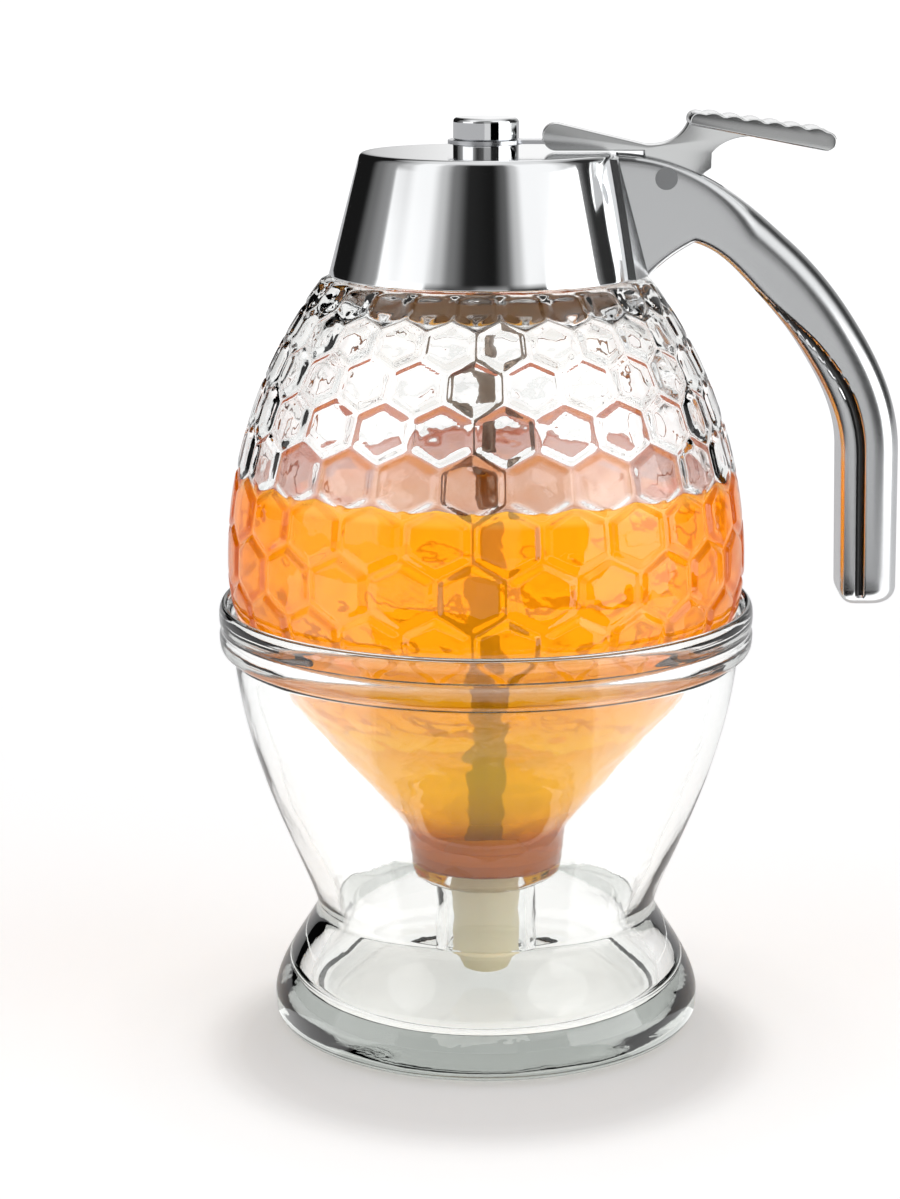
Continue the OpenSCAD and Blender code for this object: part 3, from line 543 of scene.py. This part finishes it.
SPRING_MID_R, WIRE_R, SPRING_TURNS = 4.15, 0.35, 6
SPRING_LOW_Z, SPRING_TOP_Z, PLUNGER_TRAVEL = 121.6, 133.85, 6.5
END_TURNS, END_RISE = 0.75, 1.15
WIRE_SIDES, TURN_RINGS = 12, 32
WIRE_RINGS = SPRING_TURNS * TURN_RINGS


def spring_height(turn):
    """Height of the wire's middle: closed end turns, and open turns between them."""
    low = SPRING_LOW_Z + WIRE_R
    rise = SPRING_TOP_Z - WIRE_R - low - 2 * END_TURNS * END_RISE
    open_share = min(max(turn - END_TURNS, 0), SPRING_TURNS - 2 * END_TURNS)
    flat = min(turn, END_TURNS) + max(0, turn - SPRING_TURNS + END_TURNS)
    return low + flat * END_RISE + open_share * rise / (SPRING_TURNS - 2 * END_TURNS)


wire_verts, wire_faces = [], []
for i in range(WIRE_RINGS + 1):
    turn = i / TURN_RINGS
    a = 2 * pi * turn
    for k in range(WIRE_SIDES):
        b = 2 * pi * k / WIRE_SIDES
        r = SPRING_MID_R + WIRE_R * cos(b)
        wire_verts.append((r * cos(a), r * sin(a), spring_height(turn) + WIRE_R * sin(b)))
for i in range(WIRE_RINGS):
    for k in range(WIRE_SIDES):
        a, b = i * WIRE_SIDES + k, i * WIRE_SIDES + (k + 1) % WIRE_SIDES
        wire_faces.append((a, b, b + WIRE_SIDES, a + WIRE_SIDES))
wire_faces.append(tuple(range(WIRE_SIDES)))
wire_faces.append(tuple(WIRE_RINGS * WIRE_SIDES + k for k in range(WIRE_SIDES)))
spring = piece_of("coil_spring", wire_verts, wire_faces, smooth_angle=40)
spring.data.materials.append(bright_steel)
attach(spring, "plunger")
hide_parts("spring")
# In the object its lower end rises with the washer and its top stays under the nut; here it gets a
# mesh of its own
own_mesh(spring)

# -------------------------------------------------------------------------------------------------
# Lid. A cone drawn from brass sheet and chromed to a mirror, with a moulded liner that carries the
# screw thread. A bush with a collar passes its top and is held by a nut from below.
# -------------------------------------------------------------------------------------------------
LID_LOW_Z, LID_TOP_Z, LID_LOW_R, LID_TOP_R, LID_T, LID_TOP_T = 122.9, 142.0, 24.8, 19.75, 0.9, 1.17

mirror_chrome = metal("mirror chrome", (0.80, 0.81, 0.82), (0.88, 0.89, 0.90),
                      0.03, 0.06, 60, 3, 0.000004)
lid_chrome = metal("lid chrome", (0.82, 0.83, 0.84), (0.88, 0.89, 0.90),
                   0.05, 0.08, 60, 3, 0.000004)
lid_outline = soften(
    [(0, LID_TOP_Z), (LID_TOP_R, LID_TOP_Z, 0.9), (LID_LOW_R, LID_LOW_Z, 0.35),
     (LID_LOW_R - LID_T, LID_LOW_Z, 0.35), (LID_TOP_R - 0.6, LID_TOP_Z - LID_TOP_T, 0.6),
     (0, LID_TOP_Z - LID_TOP_T)], step=1.0)
lid = turned("lid_cap", lid_outline, steps=256, smooth_angle=60)
lid.data.materials.append(lid_chrome)
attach(lid, "lid")
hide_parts("lid_shell")
dress("guide_bush", mirror_chrome)
dress("bush_nut", bright_steel)

liner_plastic = moulded("liner plastic", 0.45, 400,
                        (0.20, 0.13, 0.08), (0.30, 0.21, 0.14), 0.00003)[0]
dress("lid_liner", liner_plastic)

# -------------------------------------------------------------------------------------------------
# Handle. Cast zinc, polished and chromed: two cheeks that hold the lever, a bend and a straight
# grip. It stands on a curved saddle against the lid, and two screws from inside hold it.
# -------------------------------------------------------------------------------------------------
GRIP_X, GRIP_LOW_Z, GRIP_T, GRIP_RUN, GRIP_DRIFT = 60.9, 70.3, 9.6, 24, 0.3
CHEEK_W, BEND_SHARE, ROOT_FLARE = 10.0, 0.6, 5.4
NOTCH_AT, NOTCH_SPREAD, NOTCH_D = 0.2, 0.14, 1.5
GRIP_POWER, CHEEK_POWER, INNER_POWER = 2.6, 22, 9
GROOVE_SHARE, GROOVE_W, GROOVE_D = 0.33, 1.5, 0.7
BEND_STEPS, GRIP_STEPS, END_ROUND, HANDLE_SIDES = 100, 8, 2.6, 144
PIN_X, PIN_Z, PIN_R = 28.0, 138.2, 1.75
SADDLE_T, SLOT_W = 1.1, 5.6
LID_SLOPE = (LID_LOW_R - LID_TOP_R) / (LID_TOP_Z - LID_LOW_Z)

polished_cast = metal("polished casting", (0.68, 0.69, 0.70), (0.76, 0.77, 0.78),
                      0.2, 0.26, 90, 0.4, 0.00001)
# The groove down both sides of the grip is painted dark, as shade in the groove
groove_painted_shade = metal("groove painted dark", (0.05, 0.05, 0.05), (0.10, 0.10, 0.10),
                    0.3, 0.45, 90, 0.4, 0.00001)


def lid_r(z):
    """Radius of the lid's outer cone at a height."""
    return LID_LOW_R - (z - LID_LOW_Z) * LID_SLOPE


handle_top = (lid_r(LID_TOP_Z - 9.5) - 1, LID_TOP_Z - 9.8)
handle_bend = (GRIP_X - 7.4, handle_top[1] - 18)
grip_top = (GRIP_X, GRIP_LOW_Z + GRIP_RUN)


def handle_line(s):
    """Middle line of the handle in the XZ plane, from the lid down to the top of the grip."""
    if s < BEND_SHARE:
        return bezier(handle_top, (handle_top[0] + 15, handle_top[1] + 3),
                      (handle_bend[0] - 5.5, handle_bend[1] + 8.3), handle_bend, s / BEND_SHARE)
    return bezier(handle_bend, (handle_bend[0] + 5.5, handle_bend[1] - 8.3),
                  (grip_top[0], grip_top[1] + 6), grip_top, (s - BEND_SHARE) / (1 - BEND_SHARE))


def smooth(x):
    """A soft step from 0 to 1."""
    x = min(1, max(0, x))
    return x * x * (3 - 2 * x)


# Rings of the sweep: centre, direction of the thickness, thickness above and below the centre, half
# width, squareness, and the share of the thickness where a groove runs down both sides. Under the
# root, a notch for the first finger takes some of the thickness below.
handle_rings = []
cheek_half, grip_half = CHEEK_W / 2 - 0.12, CHEEK_W / 2 + 0.6
for i in range(BEND_STEPS + 1):
    s = i / BEND_STEPS
    before, after = handle_line(max(0, s - 0.01)), handle_line(min(1, s + 0.01))
    turn = max(0, 1 - s / 0.36)
    normal = atan2(after[0] - before[0], before[1] - after[1]) + radians(12) * turn
    slim_t = GRIP_T / 2 - NOTCH_D * exp(-((s - NOTCH_AT) / NOTCH_SPREAD) ** 2)
    low_t = slim_t + (GRIP_T / 2 + ROOT_FLARE - slim_t) * max(0, 1 - s / 0.17) ** 0.9
    handle_rings.append((handle_line(s), normal, GRIP_T / 2 + ROOT_FLARE * turn**1.6, low_t,
                         cheek_half + (grip_half - cheek_half) * smooth((s - 0.2) / 0.5),
                         GRIP_POWER + CHEEK_POWER * max(0, 1 - s / 0.3) ** 1.5,
                         GROOVE_SHARE * smooth((s - 0.3) / 0.5)))
for i in range(1, GRIP_STEPS + 1):
    along = i / GRIP_STEPS
    centre = (GRIP_X + GRIP_DRIFT * along, grip_top[1] - (GRIP_RUN - END_ROUND) * along)
    half_t = GRIP_T / 2 - 0.1 * along
    handle_rings.append((centre, 0, half_t, half_t, grip_half, GRIP_POWER, GROOVE_SHARE))
for a in range(10, 91, 10):
    shrink = END_ROUND * (1 - cos(radians(a)))
    centre = (GRIP_X + GRIP_DRIFT, GRIP_LOW_Z + END_ROUND * (1 - sin(radians(a))))
    half_t = GRIP_T / 2 - 0.1 - shrink
    handle_rings.append((centre, 0, half_t, half_t, grip_half - shrink, GRIP_POWER,
                         GROOVE_SHARE if a < 30 else 0))

verts, faces, grooved = [], [], []
for (x, z), normal, high_t, low_t, half_w, power, share in handle_rings:
    for k in range(HANDLE_SIDES):
        a = 2 * pi * (k + 0.5) / HANDLE_SIDES
        square = power if cos(a) > 0 else max(power, INNER_POWER)
        bulge = (abs(cos(a)) ** square + abs(sin(a)) ** square) ** (-1 / square)
        u = (high_t if cos(a) > 0 else low_t) * bulge * cos(a)
        groove_half = GROOVE_W / 2 * sqrt(share / GROOVE_SHARE) + 1e-6
        off = min(1, abs(u + low_t * (1 - 2 * share)) / groove_half)
        width = half_w * bulge * (1 - GROOVE_D / half_w * (1 - off * off) * share / GROOVE_SHARE)
        verts.append((x + cos(normal) * u, width * sin(a), z + sin(normal) * u))
        grooved.append(off < 0.99 and share > 0.02)
for i in range(len(handle_rings) - 1):
    for k in range(HANDLE_SIDES):
        a, b = i * HANDLE_SIDES + k, i * HANDLE_SIDES + (k + 1) % HANDLE_SIDES
        faces.append((a, b, b + HANDLE_SIDES, a + HANDLE_SIDES))
faces.append(tuple(range(HANDLE_SIDES)))
faces.append(tuple((len(handle_rings) - 1) * HANDLE_SIDES + k for k in range(HANDLE_SIDES)))
handle = piece_of("handle_casting", verts, faces)
handle.data.materials.append(polished_cast)
handle.data.materials.append(groove_painted_shade)
# Faces in the groove get the painted shade
for face in handle.data.polygons:
    face.material_index = int(all(grooved[v] for v in face.vertices))


def cut_away(piece, cutter):
    """Cuts a shape out of a piece for good and removes the shape."""
    cut = piece.modifiers.new("cut", "BOOLEAN")
    cut.operation = "DIFFERENCE"
    cut.solver = "EXACT"
    cut.object = cutter
    seen = piece.evaluated_get(bpy.context.evaluated_depsgraph_get())
    made = bpy.data.meshes.new_from_object(seen)
    piece.modifiers.clear()
    piece.data = made
    bpy.data.objects.remove(cutter)


grown = SADDLE_T + 0.02
cone_low, cone_top = LID_LOW_Z - 2, LID_TOP_Z + 2
cone = [(0, cone_low), (lid_r(cone_low) + grown, cone_low),
        (lid_r(cone_top) + grown, cone_top), (0, cone_top)]
cut_away(handle, turned("lid_room", cone, steps=256))
slot_low_z = PIN_Z - PIN_R - 1.9
slot_x0, slot_x1 = LID_TOP_R, PIN_X + 9.2
slot_corners = [(x, y, z) for x in (slot_x0, slot_x1) for y in (-SLOT_W / 2, SLOT_W / 2)
                for z in (slot_low_z, LID_TOP_Z + 10)]
slot_faces = [(0, 1, 3, 2), (4, 6, 7, 5), (0, 4, 5, 1), (2, 3, 7, 6), (0, 2, 6, 4), (1, 5, 7, 3)]
cut_away(handle, piece_of("lever_room", slot_corners, slot_faces))
handle.data.shade_smooth()
handle.data.set_sharp_from_angle(angle=radians(38))
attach(handle, "lid")
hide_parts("handle")

dress("handle_saddle", polished_cast)
dress("handle_screws", bright_steel)
pin_steel = metal("pin end", (0.40, 0.41, 0.42), (0.48, 0.49, 0.50),
                  0.4, 0.5, 300, 1, 0.00002)
dress("lever_pin", pin_steel)

# -------------------------------------------------------------------------------------------------
# Lever. Cast in one piece and polished: a nose over the lid, a web between the cheeks and a thumb
# pad with six scallops. Its nose carries the stamped ring that lifts the knob.
# -------------------------------------------------------------------------------------------------
NOSE_R, NOSE_X, NOSE_Z = 2.1, 10.9, 142.3
WEB_T, BOSS_R, PAD_W, PAD_BUMPS, PAD_R, SCALLOP_H = 5.0, 3.35, 11.0, 6, 1.5, 0.5
HOOK = (PIN_X + 4.6, LID_TOP_Z + 6.3)
PAD_END = (PIN_X + 24.8, LID_TOP_Z + 1.9)

lever_cast = metal("lever casting", (0.78, 0.79, 0.79), (0.86, 0.87, 0.87),
                   0.14, 0.2, 120, 0.5, 0.000015)


def plate(name, outline, thickness, edge, lean=0.0):
    """A flat casting in the XZ plane with rounded edges; lean draws its top in on both faces."""
    low_z, high_z = min(p[1] for p in outline), max(p[1] for p in outline)
    verts = []
    for side in (-1, 1):
        for x, z in outline:
            half = thickness / 2 - lean * (z - low_z) / (high_z - low_z)
            verts.append((x, side * half, z))
    n = len(outline)
    faces = [tuple(range(n)), tuple(range(2 * n - 1, n - 1, -1))]
    faces += [(k, (k + 1) % n, n + (k + 1) % n, n + k) for k in range(n)]
    made = piece_of(name, verts, faces)
    work = bmesh.new()
    work.from_mesh(made.data)
    rims = [e for e in work.edges
            if len(e.link_faces) == 2 and any(len(f.verts) > 4 for f in e.link_faces)]
    bmesh.ops.bevel(work, geom=rims, offset=edge * MM, segments=4, profile=0.5, affect="EDGES",
                    clamp_overlap=True)
    work.to_mesh(made.data)
    work.free()
    made.data.shade_smooth()
    made.data.set_sharp_from_angle(angle=radians(50))
    return made


heel_x = PIN_X + 7.2
web_outline = (
    arc(NOSE_X, NOSE_Z + NOSE_R, NOSE_R, 80, 270, 16)
    + [(PIN_X - 3.4, NOSE_Z), (PIN_X - 3.0, PIN_Z - 1)]
    + arc(PIN_X, PIN_Z, BOSS_R, 200, 330, 10)
    + [(heel_x, PIN_Z + 1.4)]
    + curve((heel_x, NOSE_Z - 0.4), (heel_x + 1.6, NOSE_Z + 1.6), (heel_x + 4, NOSE_Z + 2.2),
            (heel_x + 6.4, NOSE_Z + 2.2), 10)
    + [(HOOK[0] + 8, HOOK[1] - 2.4), (HOOK[0] + 1, HOOK[1] - 0.6)]
    + curve((HOOK[0] - 0.6, HOOK[1] - 0.2), (HOOK[0] - 1.4, HOOK[1] - 4.6),
            (PIN_X - 0.4, NOSE_Z + 0.8), (PIN_X - 3, NOSE_Z + 0.9), 14))
web = plate("lever_web", web_outline, WEB_T, 0.35)

pad_top = (HOOK[0] + 1.2, HOOK[1] - 0.3)
bump = ((PAD_END[0] + 0.1 - pad_top[0]) / PAD_BUMPS,
        (PAD_END[1] + PAD_R - 0.1 - pad_top[1]) / PAD_BUMPS)
scallops = []
for i in range(PAD_BUMPS):
    for u in (0.06, 0.16, 0.3, 0.5, 0.7, 0.84, 0.94):
        lift = 4 * SCALLOP_H * u * (1 - u)
        scallops.append((pad_top[0] + (i + u) * bump[0] + 0.25 * lift,
                         pad_top[1] + (i + u) * bump[1] + 0.97 * lift))
pad_outline = (arc(HOOK[0] + 0.3, HOOK[1] - 1.4, 1.4, 200, 75, 8) + scallops
               + arc(PAD_END[0], PAD_END[1], PAD_R, 70, -105, 14))
pad = plate("lever_pad", pad_outline, PAD_W, 0.3, lean=0.7)

for part in (web, pad):
    part.data.materials.append(lever_cast)
    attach(part, "lever")
    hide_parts("lever")
dress("lift_ring", bright_steel)

# -------------------------------------------------------------------------------------------------
# Knob. Turned and chromed cap on the rod's top, which the lift ring pulls up from under.
# -------------------------------------------------------------------------------------------------
dress("knob", mirror_chrome)

# -------------------------------------------------------------------------------------------------
# Room. A pale table top with black and white cards on it, two tall softboxes to the left and right
# of the camera, dark cloth beside the object and around the camera, and a white sheet behind.
# -------------------------------------------------------------------------------------------------
FLOOR_HALF, FLOOR_GAP = 14.0, 0.00015
floor_mesh = bpy.data.meshes.new("table_top")
floor_mesh.from_pydata([(x * FLOOR_HALF, y * FLOOR_HALF, -FLOOR_GAP)
                        for x, y in ((-1, -1), (1, -1), (1, 1), (-1, 1))], [], [(0, 1, 2, 3)])
floor = bpy.data.objects.new("table_top", floor_mesh)
bpy.context.scene.collection.objects.link(floor)
floor_look, tree, shader = shader_of("table top")
shader.inputs["Base Color"].default_value = (0.86, 0.86, 0.86, 1)
shader.inputs["Roughness"].default_value = 0.6
shader.inputs["Specular IOR Level"].default_value = 0
# A share of plain white on top of the light that falls there, for the camera and through glass. It
# grows with the distance from the object, because the lamps light the middle most.
glow = tree.nodes.new("ShaderNodeEmission")
path = tree.nodes.new("ShaderNodeLightPath")
both = tree.nodes.new("ShaderNodeAddShader")
place = tree.nodes.new("ShaderNodeTexCoord")
# The painted shadow of the foot lies a little towards the camera
painted_shadow_place = tree.nodes.new("ShaderNodeVectorMath")
painted_shadow_place.inputs[1].default_value = (0, 0.013, 0)
away = tree.nodes.new("ShaderNodeVectorMath")
away.operation = "LENGTH"
seen = tree.nodes.new("ShaderNodeValToRGB")
seen.color_ramp.interpolation = "EASE"
seen.color_ramp.elements[0].color = (0, 0, 0, 1)
seen.color_ramp.elements[1].color = (0.62, 0.62, 0.62, 1)
# Near the foot the share of white falls to nothing, which paints the foot's shadow on the table
for at, level in ((0.036, 0.0), (0.05, 0.29), (0.07, 0.33), (0.15, 0.34)):
    seen.color_ramp.elements.new(at).color = (level, level, level, 1)
tree.links.new(place.outputs["Object"], painted_shadow_place.inputs[0])
tree.links.new(painted_shadow_place.outputs["Vector"], away.inputs[0])
tree.links.new(away.outputs["Value"], seen.inputs["Fac"])
through_glass = mixed_colour(tree, path.outputs["Is Transmission Ray"], (0, 0, 0), (0.6, 0.6, 0.6))
direct = mixed_colour(tree, path.outputs["Is Camera Ray"], through_glass, seen.outputs["Color"])
tree.links.new(direct, glow.inputs["Color"])
tree.links.new(shader.outputs["BSDF"], both.inputs[0])
tree.links.new(glow.outputs["Emission"], both.inputs[1])
tree.links.new(both.outputs["Shader"], tree.nodes["Material Output"].inputs["Surface"])
floor_mesh.materials.append(floor_look)


def card(name, start, end, near, far, brightness, z=-FLOOR_GAP / 2):
    """A card that lies flat between two azimuths and distances, which only polished faces show."""
    verts, faces, steps = [], [], 24
    for k in range(steps + 1):
        a = radians(start + (end - start) * k / steps)
        verts += [(r * sin(a), -r * cos(a), z) for r in (near, far)]
        if k:
            faces.append((2 * k - 2, 2 * k - 1, 2 * k + 1, 2 * k))
    mesh = bpy.data.meshes.new(name)
    mesh.from_pydata(verts, [], faces)
    flat = bpy.data.objects.new(name, mesh)
    bpy.context.scene.collection.objects.link(flat)
    look, tree, shader = shader_of(name)
    shader.inputs["Base Color"].default_value = (0, 0, 0, 1)
    shader.inputs["Specular IOR Level"].default_value = 0
    shader.inputs["Emission Color"].default_value = (1, 1, 1, 1)
    shader.inputs["Emission Strength"].default_value = brightness
    look.cycles.emission_sampling = "NONE"
    mesh.materials.append(look)
    flat.visible_camera = flat.visible_diffuse = False
    flat.visible_transmission = flat.visible_shadow = False


card("black_front", -45, 11, 0.0352, 0.385, 0)
card("black_front_right", 11, 44, 0.0352, 0.31, 0)
card("black_by_the_grip", 44, 69, 0.388, 0.5, 0)
card("black_far_right", 16, 46, 0.5, 9, 0)
card("pale_far_front", -5, 15, 0.45, 12, 0.75)
card("white_left", -89, -47, 0.0352, 0.9, 1.7)
card("white_right", 45, 90, 0.0352, 0.387, 1.7)
card("white_far_right", 46, 90, 0.51, 9, 2.6)
# Keeps the white table out of the faint reflections on the jar's funnel
card("black_in_the_bowl", -180, 180, 0.001, 0.0265, 0, z=0.0055)

AIM = Vector((0.01, 0, 0.075))


def softbox(name, azimuth, distance, low, width, height, radiance):
    """A tall soft light at an azimuth from the camera's side towards +X, in degrees and metres."""
    lamp = bpy.data.lights.new(name, "AREA")
    lamp.shape = "RECTANGLE"
    lamp.size, lamp.size_y = width, height
    lamp.energy = radiance * pi * width * height
    light = bpy.data.objects.new(name, lamp)
    a = radians(azimuth)
    light.location = (distance * sin(a), -distance * cos(a), low + height / 2)
    light.rotation_euler = (AIM - light.location).to_track_quat("-Z", "Z").to_euler()
    light.visible_camera = light.visible_glossy = False
    bpy.context.scene.collection.objects.link(light)


softbox("softbox_left", -66, 0.75, 0.02, 0.42, 0.95, 1.5)
softbox("softbox_right", 62, 0.75, 0.02, 0.50, 0.95, 1.7)

world = bpy.data.worlds.new("studio")
bpy.context.scene.world = world
world.use_nodes = True
tree = world.node_tree
sky = tree.nodes["Background"]
place = tree.nodes.new("ShaderNodeTexCoord")
apart = tree.nodes.new("ShaderNodeSeparateXYZ")
around = tree.nodes.new("ShaderNodeMath")
around.operation = "ARCTAN2"
back = tree.nodes.new("ShaderNodeMath")
back.operation = "MULTIPLY"
back.inputs[1].default_value = -1
tree.links.new(place.outputs["Generated"], apart.inputs["Vector"])
tree.links.new(apart.outputs["Y"], back.inputs[0])
tree.links.new(apart.outputs["X"], around.inputs[0])
tree.links.new(back.outputs[0], around.inputs[1])
azimuth = ranged(tree, around.outputs[0], -pi, pi)


def bands(*levels):
    """Brightness round the room: degrees from the camera's side towards +X, each with a level."""
    node = tree.nodes.new("ShaderNodeValToRGB")
    ramp = node.color_ramp
    ramp.interpolation = "EASE"
    for degrees, level in levels:
        ramp.elements.new((degrees + 180) / 360).color = (level, level, level, 1)
    ramp.elements[0].color = ramp.elements[-1].color = (1, 1, 1, 1)
    tree.links.new(azimuth, node.inputs["Fac"])
    return node.outputs["Color"]


low = bands((-177, 0.5), (-170, 0.01), (-124, 0.01), (-110, 0.16), (-94, 0.3), (-89, 0.4),
            (-88, 1.3), (-47, 1.3), (-46, 0.3), (-30, 0.05), (-11, 0.1), (-4, 0.4), (14, 0.4),
            (19, 0.02), (45, 0.02), (47, 2.8), (90, 2.8), (91, 0.2), (100, 0.03), (124, 0.03),
            (150, 0.4), (172, 0.95))
high = bands((-177, 0.5), (-170, 0.01), (-124, 0.01), (-110, 0.16), (-94, 0.3), (-76, 0.65),
             (-64, 1.1), (-50, 1.1), (-38, 0.6), (-28, 0.2), (-14, 0.02), (6, 0.01), (16, 0.12),
             (25, 0.6), (33, 1.1), (64, 1.1), (80, 0.75), (92, 0.2), (104, 0.03), (124, 0.03),
             (150, 0.4), (172, 0.95))
cards = mixed_colour(tree, ranged(tree, apart.outputs["Z"], 0.26, 0.36), low, high)
ceiling = mixed_colour(tree, ranged(tree, apart.outputs["Z"], 0.68, 0.9), cards, (0.85, 0.85, 0.85))
path = tree.nodes.new("ShaderNodeLightPath")
plain = mixed_colour(tree, path.outputs["Is Diffuse Ray"], ceiling, (0.55, 0.55, 0.56))
# Through glass, the white sheet behind the object goes round to its sides
through = multiplied(tree, path.outputs["Is Transmission Ray"],
                     ranged(tree, apart.outputs["Y"], -0.5, 0.15))
clear = mixed_colour(tree, through, plain, (0.98, 0.985, 0.98))
page = mixed_colour(tree, path.outputs["Is Camera Ray"], clear, (1, 1, 1))
tree.links.new(page, sky.inputs["Color"])

# Camera: in front of the axis and above the table, looking down a little. The picture's height, how
# far right of its middle the jar's axis stands, and the lens are in pixels.
PHOTO_H, AXIS_RIGHT, LENS_PX = 1199, 36, 3000
CAMERA_AWAY, CAMERA_Z, CAMERA_DOWN, SENSOR_H = 0.473, 0.1768, 12.7, 36
camera_data = bpy.data.cameras.new("camera")
camera_data.sensor_fit = "VERTICAL"
camera_data.sensor_height = SENSOR_H
camera_data.lens = SENSOR_H * LENS_PX / PHOTO_H
camera_data.shift_x = -AXIS_RIGHT / PHOTO_H
camera_data.clip_start = 0.01
camera = bpy.data.objects.new("camera", camera_data)
camera.location = (0, -CAMERA_AWAY, CAMERA_Z)
camera.rotation_euler = (radians(90 - CAMERA_DOWN), 0, 0)
bpy.context.scene.collection.objects.link(camera)
bpy.context.scene.camera = camera
bpy.context.scene.view_settings.view_transform = "Standard"
